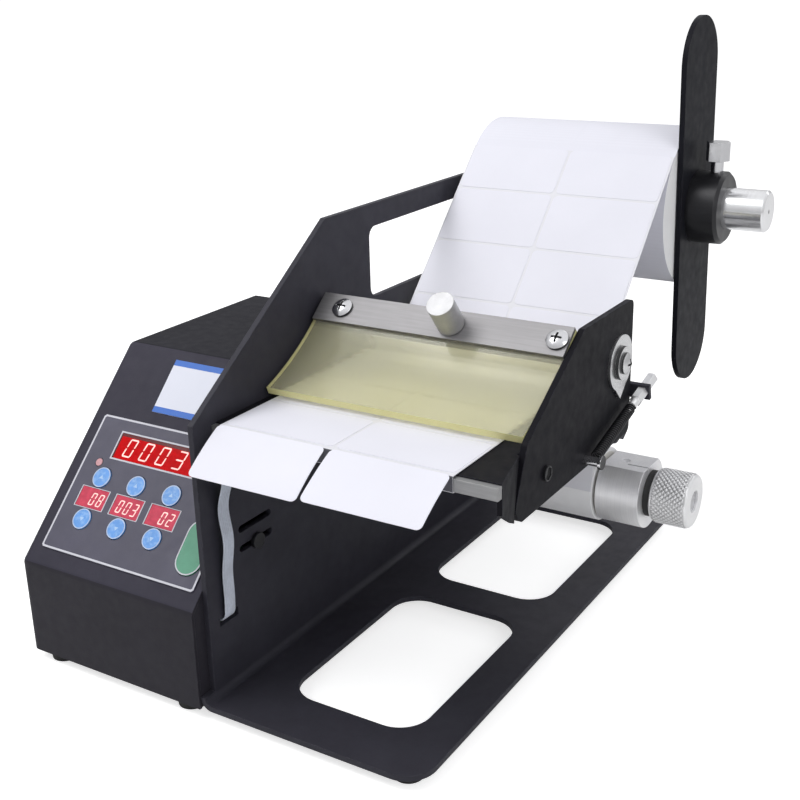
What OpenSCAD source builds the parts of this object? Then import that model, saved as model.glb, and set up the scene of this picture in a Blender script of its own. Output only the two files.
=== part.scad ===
// Desktop label peeling machine: a roll of labels is pulled over a peel bar, the labels
// stand free at the front, and the empty liner is wound up underneath.
// Working axes: X to the operator's right from the upright's face, Y to the back from the
// foot plate's front edge, Z up from the foot plate's underside. place() moves that frame to
// the middle of the outline on the surface that the feet stand on.

/* [Base frame] */
// Thickness of the bent frame sheet
frame_t = 2.5; // [1.5:0.5:3.5]
// Inside radius of the bend between foot plate and upright
frame_bend = 3; // [1:0.5:6]
// Width of the foot plate from the upright's face
foot_w = 103.5; // [96:0.5:115]
// Length of the foot plate
foot_l = 274; // [268:1:300]
// Corner radius of the foot plate
foot_r = 13; // [6:1:20]
// Width of each window in the foot plate
window_w = 62.5; // [50:0.5:66]
// Length of each window in the foot plate
window_l = 99; // [80:0.5:100]
// Corner radius of the windows
window_r = 14; // [6:1:20]
// Distance from the upright to the windows
window_side = 23; // [15:1:28]
// Distance from the front edge to the first window
window_front = 25; // [20:1:34]
// Bar of sheet between the two windows
window_bar = 20; // [14:1:24]
// Setback of the upright's front edge
upright_front = 6.5; // [2:0.5:10]
// Height of the upright's straight front edge
upright_front_h = 124.5; // [110:0.5:126]
// Run of the upright's slanting edge
slant_run = 94.5; // [80:0.5:98]
// Full height of the upright
upright_h = 188.5; // [187:0.5:200]
// Front end of the arm window
arm_window_y = 135; // [125:1:150]
// Length of the arm window
arm_window_l = 92; // [70:1:95]
// Height of the arm window's lower edge
arm_window_z = 145; // [144:1:150]
// Height of the arm window opening
arm_window_h = 33; // [25:1:33]
// Corner radius of the arm window
arm_window_r = 5; // [2:0.5:8]
// Height of the rubber feet
foot_h = 5; // [3:0.5:10]
// Radius of the rubber feet
foot_pad_r = 7; // [5:0.5:9]

/* [Control box] */
// Outside width of the control box
box_w = 100; // [92:1:110]
// Depth of the control box
box_d = 174; // [172:1:185]
// Height of the control box
box_h = 125; // [122:1:134]
// Height of the vertical front below the sloping face
box_front_h = 45; // [42:1:48]
// Overhang of the box in front of the foot plate
box_overhang = 1; // [0.5:0.5:3]
// Thickness of the box sheet
box_t = 1.5; // [1:0.25:2]
// Outside corner radius of the box
box_r = 4; // [3:0.5:6]

/* [Control panel] */
// Width of the panel overlay
panel_w = 88; // [84:1:90]
// Height of the panel overlay along the slope
panel_h = 66.5; // [64:0.5:70]
// Thickness of the overlay
panel_t = 0.6; // [0.4:0.1:1]
// Gap from the box's right side to the overlay
panel_side = 3.5; // [2:0.5:6]
// Distance up the slope from the fold to the overlay
panel_up = 8.5; // [6:0.5:12]
// Corner chamfer of the overlay
panel_cut = 1; // [0.5:0.5:6]
// Width of the five-digit display
total_w = 58.5; // [56:0.5:60]
// Height of the five-digit display
total_h = 12.5; // [12:0.5:15]
// Width of a small display
preset_w = 16; // [14:0.5:17]
// Height of a small display
preset_h = 9.4; // [8:0.1:9.4]
// Distance between neighbouring key columns
key_pitch = 20.6; // [19:0.1:21.4]
// Distance between the two key rows
key_rows = 20.4; // [20.4:0.1:21]
// Radius of a round key
key_r = 4.8; // [4:0.1:4.8]
// Width of the confirm key
confirm_w = 13.5; // [10:0.5:14]
// Length of the confirm key
confirm_h = 25; // [20:0.5:27]
// Travel of a key
key_travel = 0.4; // [0.2:0.1:0.5]
// Width of the blank plate above the panel
plate_w = 48; // [30:1:52]
// Height of the blank plate above the panel
plate_h = 27; // [20:1:28]

/* [Labels] */
// Width of the label web
web_w = 105; // [90:1:106]
// Gap from the upright to the label web
web_side = 4.5; // [4:0.5:5]
// Thickness of the label web
web_t = 0.5; // [0.4:0.1:0.6]
// Outside radius of the label roll
roll_r = 38; // [30:1:39]
// Fall of the web from the roll, in degrees below level
web_angle = 45; // [43:1:47]
// Gap between the two label columns
label_gap = 2; // [1.5:0.5:5]
// Length of the left label that has left the liner
left_free = 25; // [16:0.5:28]
// Droop of the left label at the peel bar, in degrees
left_droop = 28; // [15:1:35]
// Curl of the left label, in degrees
left_curl = 12; // [8:1:40]
// Length of the right label that has left the liner
right_free = 25; // [16:0.5:30]
// Droop of the right label at the peel bar, in degrees
right_droop = 24; // [8:1:30]
// Curl of the right label, in degrees
right_curl = 11; // [5:1:40]

/* [Supply spindle] */
// Distance of the spindle axis from the foot plate's front
spindle_y = 256; // [254:1:257]
// Height of the spindle axis
spindle_z = 175.8; // [175:0.2:176.4]
// Radius of the supply spindle
spindle_r = 10; // [8:0.5:11]
// Length of the spindle from the upright
spindle_l = 147.8; // [144:0.2:151]
// Running clearance on the radius
running_fit = 0.05; // [0.02:0.01:0.09]
// Length of the retaining bar
bar_l = 179; // [150:1:190]
// Width of the retaining bar
bar_w = 44; // [38:1:52]
// Thickness of the retaining bar
bar_t = 2.5; // [2:0.25:3]
// Lean of the retaining bar's upper end to the front
bar_lean = 3; // [0:0.5:8]
// Outside radius of the bar's collar
collar_r = 17.5; // [15:0.5:20]
// Length of the bar's collar
collar_l = 15; // [12:0.5:17]
// Outward slide of the retaining bar
bar_slide = 15; // [5:1:16]

/* [Peel channel] */
// Inside width of the channel between upright and side plate
channel_w = 120; // [119:0.5:122]
// Height of the channel floor's upper face
floor_z = 122; // [121:0.5:123]
// Thickness of the channel floor
floor_t = 2; // [1.5:0.5:2.5]
// Rear edge of the channel floor
floor_rear = 118; // [110:1:120]
// Front face of the peel bar
peel_y = 17.5; // [16:0.5:20]
// Depth of the peel bar's section
peel_d = 3; // [2:0.5:4]
// Height of the peel bar's section
peel_h = 5.5; // [4:0.5:6]
// Reach of the peel bar past the side plate
peel_reach = 4.5; // [0.5:0.5:5.5]
// Thickness of the side plate
side_t = 2.5; // [1.5:0.5:3]
// Front end of the side plate
side_front = 40; // [36:1:44]
// Rear edge of the side plate
side_rear = 150.5; // [150:0.5:151]
// Lower edge of the side plate
side_low = 96; // [95:0.5:96.5]
// Upper edge of the side plate
side_top = 156; // [155:0.5:160]

/* [Press sheet] */
// Rear upper edge of the clamp strip, from the front
strip_y = 96.1; // [95:0.1:97]
// Height of the strip's upper edge
strip_z = 157.3; // [157:0.1:158]
// Lean of the strip, in degrees
strip_lean = 39.5; // [38:0.5:41]
// Width of the clamp strip
strip_w = 14; // [12:0.5:15]
// Thickness of the clamp strip
strip_t = 1.5; // [1:0.25:2]
// Thickness of the press sheet
sheet_t = 3.2; // [2:0.2:3.4]
// Free length of the press sheet below the strip
sheet_l = 40.5; // [38:0.5:41]
// Bend of the press sheet, in degrees
sheet_bend = 20; // [17:1:23]
// Radius of the thumb screw
thumb_r = 5.8; // [4:0.2:7]
// Height of the thumb screw's head
thumb_h = 14; // [8:0.5:16]

/* [Pinch lever] */
// Distance of the pivot axle from the front
pivot_y = 135.5; // [135:0.5:136]
// Height of the pivot axle
pivot_z = 132; // [131.5:0.5:132.5]
// Radius of the pivot axle
pivot_r = 5; // [4:0.5:6]
// Radius of the guide roller on the pivot axle
guide_r = 9; // [7:0.5:9]
// Distance of the pinch roller's axle from the front
pinch_y = 153.9; // [153:0.1:155]
// Height of the pinch roller's axle
pinch_z = 94.8; // [94:0.1:95.4]
// Radius of the pinch roller
pinch_r = 8; // [7:0.5:8.5]
// Radius of the driven rubber roller
drive_r = 12; // [11:0.5:12.5]
// Angle of the nip above level
nip_angle = 20; // [18:1:22]
// Thickness of the lever arm
arm_t = 2.5; // [2:0.5:3]
// Backward opening of the lever, in degrees
lever_open = 18; // [5:1:20]

/* [Rewinder] */
// Distance of the rewind axis from the front
rewind_y = 158.7; // [158:0.1:159]
// Height of the rewind axis
rewind_z = 64.9; // [64:0.1:66]
// Radius of the rewind spindle
rewind_r = 10; // [8:0.5:11]
// Radius of the core on the rewind spindle
rewind_core_r = 15; // [13:0.5:15.5]
// Radius of the wound liner
liner_r = 17; // [16:0.2:17.4]
// Radius of the aluminium clamp ring
clamp_r = 16.1; // [15:0.1:17]
// Length of the clamp ring
clamp_l = 20; // [16:0.5:22]
// Radius of the knurled knob
knob_r = 12.5; // [11:0.5:14]
// Length of the knurled knob
knob_l = 17; // [14:0.5:19]

/* [Drive train] */
// Gear module
gear_m = 1; // [1:0.25:1]
// Teeth on the drive roller's gear
gear_teeth = 36; // [36:1:36]
// Teeth on the motor's pinion
pinion_teeth = 18; // [18:1:18]
// Width of the gears
gear_w = 6; // [4:0.5:7]
// Groove radius of the motor's belt pulley
small_pulley_r = 7; // [5:0.5:7.5]
// Groove radius of the rewinder's belt pulley
large_pulley_r = 10; // [8:0.5:10.5]
// Thickness of the round belt
belt_t = 2; // [1.5:0.25:2.25]
// Radius of the gear motor
motor_r = 18.5; // [15:0.5:19]
// Length of the gear motor
motor_l = 58; // [50:1:62]

/* [Tension spring] */
// Wire thickness of the spring
wire_t = 0.8; // [0.6:0.1:0.9]
// Mean radius of the coils
coil_r = 2; // [1.8:0.1:2.2]
// Number of coils
coils = 28; // [14:1:28]

/* [Hidden] */
// Fineness of round pieces
$fn = 64;
// Overrun of a cutting tool
over = 1;
// Gap between pieces that move past each other
gap = 0.3;
// Gap of a loose cover or flap
loose = 0.5;
// Segments of a small arc
arc_steps = 6;
// Segments of a long arc
long_steps = 12;

// Control box places
box_x1 = -frame_t;
box_x0 = box_x1 - box_w;
box_y0 = -box_overhang;
box_y1 = box_y0 + box_d;
slope_l = (box_h - box_front_h) * sqrt(2);

// Panel places, measured along the slope from the fold
panel_x1 = box_x1 - panel_side;
panel_x0 = panel_x1 - panel_w;
total_inset = 15;
total_drop = 6.9;
total_x0 = panel_x0 + total_inset;
total_up = panel_up + panel_h - total_drop - total_h;
preset_inset = 15.4;
preset_rise = 26.7;
preset_x = panel_x0 + preset_inset;
preset_up = panel_up + preset_rise;
confirm_inset = 8.3;
confirm_rise = 18.2;
confirm_x = panel_x1 - confirm_inset;
confirm_up = panel_up + confirm_rise;
key_drop = 1.4;
key_rise = 0.5;
display_depth = 7;
display_rise = 0.4;
board_t = 1.6;
board_margin = 2;
switch_w = 6;
lamp_inset = 9.7;
lamp_drop = 23;
lamp_r = 1.8;
plate_gap = 6;
plate_inset = 25;
plate_t = 0.4;

// Web path places
web_x0 = web_side;
web_x1 = web_x0 + web_w;
rod_r = 3;
rod_z = floor_z + gap / 2 + web_t + gap + rod_r;
rod_reach = roll_r + gap + web_t + gap + rod_r;
rod_y = spindle_y - (rod_reach + (spindle_z - rod_z) * cos(web_angle)) / sin(web_angle);
web_side_gap = gap / 2;
nip_reach = drive_r + pinch_r + web_t + 2 * gap;
drive_y = pinch_y - nip_reach * cos(nip_angle);
drive_z = pinch_z + nip_reach * sin(nip_angle);
peel_bottom = floor_z - peel_h;

// Supply spindle places
spindle_chamfer = 1;
spindle_stud_r = 6;
spindle_stud_l = 14;
nut_t = 6;
bush_l = 14;
bush_wall = 2.7;
bar_x0 = web_x1 + loose;
collar_x0 = bar_x0 + bar_t;
bolt_r = 3;
bolt_x = collar_x0 + collar_l * 0.6;
bolt_head_r = 5.8;
bolt_head_h = 9;
bolt_shank = 5;

// Side plate outline, as shares of the plate's own length and height, front corner first
side_x0 = channel_w;
side_x1 = side_x0 + side_t;
peel_l = side_x1 + peel_reach;
side_shares = [[0.045, 0], [1, 0], [1, 1], [0.534, 1], [0.086, 0.49], [0, 0.1]];
side_corner_r = 3;

// Press sheet places
strip_margin = 2;
strip_screws = [channel_w * 0.121, channel_w * 0.957];
bracket_t = 3;
bracket_drop = 8;
screw_head_r = 4.6;
screw_head_h = 2.6;
thumb_x = channel_w * 0.565;
thumb_stem_r = 2.5;

// Lever places
arm_side = 4;
arm_x0 = web_x1 + arm_side;
arm_x1 = arm_x0 + arm_t;
arm_root_r = 8.5;
arm_tip_r = 7;
pinch_axle_r = 3;
stud_out = 3.5;
stud_x = side_x1 + stud_out;
stud_r = 1.9;
stud_angle = 14;
post_y = 103;
post_z = 99.9;
post_r = 2;
tab_y = 155.5;
tab_t = 2;
tab_h = 7;
stud_front = 12;
stud_back = 13;
washer_r = 12;
washer_t = 1.5;

// Rewinder places
clamp_side = 1.5;
clamp_x0 = web_x1 + clamp_side;
clamp_x1 = clamp_x0 + clamp_l;
clamp_flat = 13.2;
ring_t = 3;
ring_r = 10.5;
knob_x0 = clamp_x1 + ring_t + gap;
knob_x1 = knob_x0 + knob_l;
knob_stud_r = 5;
set_screw_r = 2;

// Drive train places, to the left of the upright
housing_t = 6;
housing_r = 12;
gear_side = 1.5;
gear_x1 = -frame_t - housing_t - gear_side;
gear_x0 = gear_x1 - gear_w;
belt_side = 2;
belt_x1 = gear_x0 - belt_side;
pulley_w = 7;
belt_x0 = belt_x1 - pulley_w;
bracket_side = 4;
bracket_x1 = belt_x0 - bracket_side;
bracket_x0 = bracket_x1 - box_t;
motor_angle = 240;
gear_reach = gear_m * (gear_teeth + pinion_teeth) / 2;
motor_y = drive_y + gear_reach * cos(motor_angle);
motor_z = drive_z + gear_reach * sin(motor_angle);
drive_shaft_r = 4;
rubber_wall = 5;
backlash = 0.25;
pressure_angle = 20;
bracket_l = 46;
bracket_edge = 5;
post_width = 8;
post_turns = [-115, -35, 45];

// Cable places
cable_w = 8;
cable_t = 1;
cable_y = 19;
slot_z = 35;
sensor_z = 100;

// Outline of the whole machine
outline_x0 = box_x0;
outline_x1 = knob_x1;
label_y = peel_y - web_side_gap - web_t;
label_z = floor_z + web_side_gap + web_t + gap;
right_radius = right_free / (right_curl * PI / 180);
left_radius = left_free / (left_curl * PI / 180);
function tip_y(droop, curl, r) =
  label_y - r * (sin(droop + curl) - sin(droop)) - web_t * sin(droop + curl);
outline_y0 = min(tip_y(right_droop, right_curl, right_radius), tip_y(left_droop, left_curl, left_radius));
outline_y1 = spindle_y + roll_r;

// Colours
charcoal = [0.16, 0.16, 0.18];
slate = [0.3, 0.29, 0.34];
steel = [0.7, 0.7, 0.7];
chrome = [0.82, 0.82, 0.84];
paper = [0.95, 0.95, 0.97];
amber = [0.9, 0.88, 0.6, 0.8];
sky = [0.45, 0.65, 0.85];
board_green = [0.1, 0.4, 0.2];

// Moves the working frame to the part's own frame
module place() {
  translate([-(outline_x0 + outline_x1) / 2, -(outline_y0 + outline_y1) / 2, foot_h]) children();
}

// Extrudes an outline drawn in Y and Z from x0 to x1
module side_on(x0, x1) {
  translate([x0, 0, 0]) rotate([90, 0, 90]) linear_extrude(x1 - x0) children();
}

// Round bar along X from x0 to x1 at a place in Y and Z
module rod(x0, x1, at, r) {
  translate([x0, at[0], at[1]]) rotate([0, 90, 0]) cylinder(r = r, h = x1 - x0);
}

// Tube along X
module tube(x0, x1, at, r, bore) {
  difference() {
    rod(x0, x1, at, r);
    rod(x0 - over, x1 + over, at, bore);
  }
}

// Hexagon along X, given by its corner radius
module hexagon(x0, x1, at, r) {
  translate([x0, at[0], at[1]]) rotate([0, 90, 0]) cylinder(r = r, h = x1 - x0, $fn = 6);
}

// Plane rectangle with round corners, from one corner
module round_rect(size, r) {
  translate([r, 0]) square([size[0] - 2 * r, size[1]]);
  translate([0, r]) square([size[0], size[1] - 2 * r]);
  for (x = [r, size[0] - r]) for (y = [r, size[1] - r]) translate([x, y]) circle(r);
}

// Points of one rounded corner between the neighbours a and c of the corner b
function corner(a, b, c, r) =
  let (u = (a - b) / norm(a - b), v = (c - b) / norm(c - b))
  let (half = acos(u * v) / 2, reach = r / tan(half), m = (u + v) / norm(u + v))
  let (o = b + m * r / sin(half), p = b + u * reach, q = b + v * reach)
  let (a0 = atan2(p[1] - o[1], p[0] - o[0]), a1 = atan2(q[1] - o[1], q[0] - o[0]))
  let (turn = a1 - a0 > 180 ? a1 - a0 - 360 : a1 - a0 < -180 ? a1 - a0 + 360 : a1 - a0)
  [for (i = [0:arc_steps]) o + r * [cos(a0 + turn * i / arc_steps), sin(a0 + turn * i / arc_steps)]];

// Outline with every corner rounded
function rounded(points, r) =
  let (n = len(points))
  [for (i = [0:n - 1]) each corner(points[(i + n - 1) % n], points[i], points[(i + 1) % n], r)];

// Direction of the straight run between two arcs; a radius is positive where the centre
// lies to the left of the travel
function run_dir(c1, s1, c2, s2) =
  let (d = c2 - c1) atan2(d[1], d[0]) - asin((s2 - s1) / norm(d));

// Points and directions along an arc between two directions of travel
function wrap(c, s, from, to, steps = long_steps) =
  [for (i = [0:steps]) let (a = from + (to - from) * i / steps)
    [c[0] + s * sin(a), c[1] - s * cos(a), a]];

// Outline of a band beside a path, between two offsets to the left of the travel
function band(path, lo, hi) =
  let (n = len(path))
  concat([for (p = path) [p[0] - sin(p[2]) * lo, p[1] + cos(p[2]) * lo]],
    [for (i = [0:n - 1]) let (p = path[n - 1 - i]) [p[0] - sin(p[2]) * hi, p[1] + cos(p[2]) * hi]]);

// Closed loop round two circles
function loop_round(c1, r1, c2, r2) =
  let (go = run_dir(c1, r1, c2, r2), back = run_dir(c2, r2, c1, r1))
  let (turn = back < go ? back + 360 : back)
  [for (p = concat(wrap(c2, r2, go, turn), wrap(c1, r1, turn, go + 360))) [p[0], p[1]]];

drive_at = [drive_y, drive_z];
pinch_at = [pinch_y, pinch_z];
pivot_at = [pivot_y, pivot_z];
rewind_at = [rewind_y, rewind_z];
spindle_at = [spindle_y, spindle_z];
motor_at = [motor_y, motor_z];
rod_at = [rod_y, rod_z];

// Frame: bent sheet with foot plate and upright
slot_l = 22;
slot_h = 3.2;
slot_y = 29;
slot_rows = [60, 69];
cable_slot_l = 12;
cable_slot_h = 4;
tie_y = 66;
tie_z = 108;
tie_r = 4;
arm_rear = 16;
arm_corner = 12;
screw_r = 2;

module upright_outline() {
  top_y = upright_front + slant_run;
  rear_y = spindle_y + arm_rear;
  low = frame_t + frame_bend;
  difference() {
    polygon(concat(
      [[upright_front, low], [rear_y, low]],
      corner([rear_y, low], [rear_y, upright_h], [top_y, upright_h], arm_corner),
      [[top_y, upright_h], [upright_front, upright_front_h]]));
    translate([arm_window_y, arm_window_z]) round_rect([arm_window_l, arm_window_h], arm_window_r);
    for (z = slot_rows) translate([slot_y, z]) round_rect([slot_l, slot_h], slot_h / 2.01);
    translate([cable_y - cable_slot_l / 2, slot_z - cable_slot_h / 2])
      square([cable_slot_l, cable_slot_h]);
    translate(spindle_at) circle(spindle_stud_r);
    translate(rewind_at) circle(rewind_r + gap);
    translate(drive_at) circle(drive_shaft_r + gap);
    translate(pivot_at) circle(screw_r);
    translate(rod_at) circle(screw_r);
    translate([tie_y, tie_z]) circle(screw_r);
  }
}

module foot_outline() {
  difference() {
    union() {
      translate([frame_bend, 0]) square([foot_w - foot_r - frame_bend, foot_l]);
      translate([foot_w - foot_r - over, foot_r]) square([foot_r + over, foot_l - 2 * foot_r]);
      for (y = [foot_r, foot_l - foot_r]) translate([foot_w - foot_r, y]) circle(foot_r);
    }
    for (i = [0, 1]) translate([window_side, window_front + i * (window_l + window_bar)])
      round_rect([window_w, window_l], window_r);
  }
}

module base_frame() {
  color(charcoal) place() {
    side_on(-frame_t, 0) upright_outline();
    linear_extrude(frame_t) foot_outline();
    translate([frame_bend, foot_l, frame_t + frame_bend]) rotate([90, 0, 0])
      linear_extrude(foot_l) intersection() {
        difference() {
          circle(frame_bend + frame_t);
          circle(frame_bend);
        }
        translate([-frame_bend - frame_t, -frame_bend - frame_t]) square(frame_bend + frame_t);
      }
  }
}

// Control box: folded cover, bottom and rear panel
module on_slope() {
  translate([0, box_y0, box_front_h]) rotate([45, 0, 0]) children();
}

// Solid of the box profile, drawn in by a wall and reaching to x1
module box_body(inset, x1, low) {
  r = box_r - inset;
  y0 = box_y0 + box_r;
  y1 = box_y1 + 2 * box_r;
  top = box_h - box_r;
  fold = box_front_h - box_r * (sqrt(2) - 1);
  knee = box_y0 + (box_h - box_front_h) + box_r * (sqrt(2) - 1);
  places = [[y0, low], [y0, fold], [knee, top], [y1, top], [y1, low]];
  hull() for (p = places) {
    translate([box_x0 + box_r, p[0], p[1]]) if (p[1] == low) cylinder(r = r, h = over, $fn = 32);
      else sphere(r, $fn = 32);
    translate([x1 - over, p[0], p[1]]) rotate([0, 90, 0]) if (p[1] == low)
      translate([-over, -r, 0]) cube([over, 2 * r, over]);
      else cylinder(r = r, h = over, $fn = 32);
  }
}

module panel_holes(grow, low, high) {
  on_slope() translate([0, 0, low]) {
    translate([total_x0 - grow, total_up - grow, 0])
      cube([total_w + 2 * grow, total_h + 2 * grow, high - low]);
    for (i = [0:2]) {
      x = preset_x + i * key_pitch;
      translate([x - preset_w / 2 - grow, preset_up - preset_h / 2 - grow, 0])
        cube([preset_w + 2 * grow, preset_h + 2 * grow, high - low]);
      for (s = [-1, 1]) translate([x, preset_up + s * key_rows / 2, 0])
        cylinder(r = key_r + grow, h = high - low);
    }
    translate([confirm_x, confirm_up, 0]) confirm_shape(grow, high - low);
    translate([panel_x0 + lamp_inset, panel_up + panel_h - lamp_drop, 0])
      cylinder(r = lamp_r + grow, h = high - low);
  }
}

module confirm_shape(grow, height) {
  r = confirm_w / 2 + grow;
  straight = confirm_h - confirm_w;
  for (s = [-1, 1]) translate([0, s * straight / 2, 0]) cylinder(r = r, h = height);
  translate([-r, -straight / 2, 0]) cube([2 * r, straight, height]);
}

inlet_w = 27;
inlet_h = 20;
inlet_inset = 16;
inlet_x = box_x0 + inlet_inset;
inlet_z = 16;
rocker_w = 19;
rocker_h = 13;
rocker_wall = 2;
rocker_x = inlet_x + inlet_w;
vent_w = 2.5;
vent_h = 26;
vent_pitch = 6;
vents = 8;
vent_inset = 14;
vent_x = box_x0 + vent_inset;
vent_drop = 23;
vent_z = box_h - vent_h - vent_drop;

module box_cover() {
  color(slate) place() difference() {
    box_body(0, box_x1, 0);
    box_body(box_t, box_x1 + 2 * over, -over);
    translate([box_x0 - over, box_y1, -over]) cube([box_w + 2 * over, 4 * box_r, box_h + 2 * over]);
    panel_holes(gap, -box_t - over, over);
  }
}

module box_bottom() {
  color(charcoal) place() difference() {
    translate([box_x0 + box_t + gap, box_y0 + box_t + gap, 0]) linear_extrude(box_t)
      round_rect([box_w - box_t - gap, box_d - box_t - gap], box_r - box_t);
    for (i = [0:vents - 1]) translate([vent_x + i * vent_pitch, box_d / 3, -over])
      cube([vent_w, vent_h, box_t + 2 * over]);
  }
}

module rear_panel() {
  color(charcoal) place() difference() {
    translate([box_x0 + box_t + gap, box_y1, box_t]) rotate([90, 0, 0]) linear_extrude(box_t)
      round_rect([box_w - box_t - gap, box_h - 2 * box_t - gap], box_r - box_t);
    translate([inlet_x, box_y1 - box_t - over, inlet_z])
      cube([rocker_x + rocker_w + rocker_wall - inlet_x, box_t + 2 * over, inlet_h]);
    for (i = [0:vents - 1]) translate([vent_x + i * vent_pitch, box_y1 - box_t - over, vent_z])
      cube([vent_w, box_t + 2 * over, vent_h]);
  }
}

// Control panel
module panel_overlay() {
  cut = panel_cut;
  color(slate) place() difference() {
    on_slope() translate([panel_x0, panel_up, 0]) linear_extrude(panel_t)
      polygon([[cut, 0], [panel_w - cut, 0], [panel_w, cut], [panel_w, panel_h - cut],
        [panel_w - cut, panel_h], [cut, panel_h], [0, panel_h - cut], [0, cut]]);
    panel_holes(gap, -over, over);
  }
}

module blank_plate() {
  color(paper) place() on_slope()
    translate([panel_x0 + plate_inset, panel_up + panel_h + plate_gap, 0])
      cube([plate_w, plate_h, plate_t]);
}

module led_displays() {
  color("firebrick") place() on_slope() translate([0, 0, -display_depth]) {
    translate([total_x0, total_up, 0]) cube([total_w, total_h, display_depth + display_rise]);
    for (i = [0:2]) translate([preset_x + i * key_pitch - preset_w / 2, preset_up - preset_h / 2, 0])
      cube([preset_w, preset_h, display_depth + display_rise]);
  }
}

module panel_board() {
  top = -key_drop - key_travel - gap;
  color(board_green) place() on_slope() {
    translate([panel_x0 + board_margin, panel_up + board_margin, -display_depth - board_t])
      cube([panel_w - 2 * board_margin, panel_h - 2 * board_margin, board_t]);
    for (i = [0:2]) for (s = [-1, 1])
      tact_switch(preset_x + i * key_pitch, preset_up + s * key_rows / 2, top);
    tact_switch(confirm_x, confirm_up, top);
    translate([panel_x0 + lamp_inset, panel_up + panel_h - lamp_drop, -display_depth])
      cylinder(r = lamp_r, h = display_depth + display_rise);
    for (x = [panel_x0 + 2 * board_margin, panel_x1 - 2 * board_margin])
      for (y = [panel_up + 2 * board_margin, panel_up + panel_h - 2 * board_margin])
        translate([x, y, -display_depth]) cylinder(r = board_margin / 1.1, h = display_depth - box_t);
  }
}

module tact_switch(x, y, top) {
  translate([x - switch_w / 2, y - switch_w / 2, -display_depth])
    cube([switch_w, switch_w, display_depth + top]);
}

module round_key(column, row) {
  color(sky) place() on_slope()
    translate([preset_x + column * key_pitch, preset_up + row * key_rows / 2, -key_drop])
      cylinder(r = key_r, h = key_drop + panel_t + key_rise);
}

module speed_up_key() { round_key(0, 1); }
module speed_down_key() { round_key(0, -1); }
module length_up_key() { round_key(1, 1); }
module length_down_key() { round_key(1, -1); }
module delay_up_key() { round_key(2, 1); }
module delay_down_key() { round_key(2, -1); }

module confirm_key() {
  color("seagreen") place() on_slope() translate([confirm_x, confirm_up, -key_drop])
    confirm_shape(0, key_drop + panel_t + key_rise);
}

// Electronics on the box bottom
control_w = 78;
control_d = 92;
control_y = 14;
pillar_h = 6;
pillar_r = 2.5;
transformer_w = 34;
transformer_d = 28;
transformer_h = 24;
capacitor_r = 6;
capacitor_h = 18;
relay_w = 15;
relay_h = 14;

module control_board() {
  x0 = box_x0 + (box_w - control_w) / 2;
  top = box_t + pillar_h + board_t;
  color(board_green) place() {
    translate([x0, control_y, box_t + pillar_h]) cube([control_w, control_d, board_t]);
    for (x = [pillar_r, control_w - pillar_r]) for (y = [pillar_r, control_d - pillar_r])
      translate([x0 + x, control_y + y, box_t]) cylinder(r = pillar_r, h = pillar_h);
    translate([x0 + 2 * pillar_r, control_y + 2 * pillar_r, top])
      cube([transformer_w, transformer_d, transformer_h]);
    for (i = [0:1]) translate([x0 + control_w / 2 + (2 * i + 1.6) * capacitor_r * 1.2,
      control_y + transformer_d / 2, top]) cylinder(r = capacitor_r, h = capacitor_h);
    for (i = [0:2]) translate([x0 + 2 * pillar_r + i * 1.4 * relay_w,
      control_y + control_d - 2 * relay_w, top]) cube([relay_w, relay_w, relay_h]);
  }
}

// Motor, gears and belt
module gear_motor() {
  head = motor_l * 0.4;
  color(steel) place() {
    rod(bracket_x0 - head, bracket_x0, motor_at, motor_r);
    rod(bracket_x0 - motor_l, bracket_x0 - head, motor_at, motor_r * 0.94);
    rod(bracket_x0 - motor_l - 2 * pillar_r, bracket_x0 - motor_l, motor_at, motor_r / 3);
  }
}

module motor_bracket() {
  reach = bracket_l / 2 - bracket_edge;
  posts = [for (a = post_turns) motor_at + reach * [cos(motor_angle + a), sin(motor_angle + a)]];
  color(charcoal) place() {
    difference() {
      side_on(bracket_x0, bracket_x1) translate(motor_at - [bracket_l / 2, bracket_l / 2])
        round_rect([bracket_l, bracket_l], bracket_edge);
      rod(bracket_x0 - over, bracket_x1 + over, motor_at, motor_r / 3);
    }
    for (at = posts) rod(bracket_x1, -frame_t, at, post_width / 2);
  }
}

function involute(base, a) =
  let (k = a * PI / 180) [base * (cos(a) + k * sin(a)), base * (sin(a) - k * cos(a))];

// Gear outline with involute flanks, thinned by half the backlash
function tooth(teeth, centre) =
  let (pitch = gear_m * teeth / 2, base = pitch * cos(pressure_angle))
  let (outer = pitch + gear_m * 0.95, root = pitch - 1.25 * gear_m)
  let (a_max = acos(base / outer), k_max = tan(a_max) * 180 / PI)
  let (inv_pitch = tan(pressure_angle) * 180 / PI - pressure_angle)
  let (half = 90 / teeth - backlash / 4 / pitch * 180 / PI + inv_pitch)
  let (flank = [for (i = [0:3]) let (p = involute(base, k_max * i / 3))
    [norm(p), atan2(p[1], p[0]) - half]])
  let (low = [[min(root, base), -half]])
  let (right = concat(low, flank))
  let (n = len(right))
  concat([for (p = right) p[0] * [cos(centre + p[1]), sin(centre + p[1])]],
    [for (i = [0:n - 1]) let (p = right[n - 1 - i]) p[0] * [cos(centre - p[1]), sin(centre - p[1])]]);

function gear_points(teeth, start) =
  [for (i = [0:teeth - 1]) each tooth(teeth, start + i * 360 / teeth)];

module gear(x0, x1, at, teeth, start) {
  side_on(x0, x1) translate(at) polygon(gear_points(teeth, start));
}

module pulley(x0, x1, at, r) {
  flange = (x1 - x0 - belt_t - 2 * gap) / 2;
  rod(x0, x0 + flange, at, r + belt_t);
  rod(x0, x1, at, r);
  rod(x1 - flange, x1, at, r + belt_t);
}

module motor_pinion() {
  color("goldenrod") place() {
    gear(gear_x0, gear_x1, motor_at, pinion_teeth, motor_angle + 180);
    pulley(belt_x0, belt_x1, motor_at, small_pulley_r);
    rod(bracket_x0 + gap, gear_x1, motor_at, motor_r / 6);
  }
}

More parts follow.
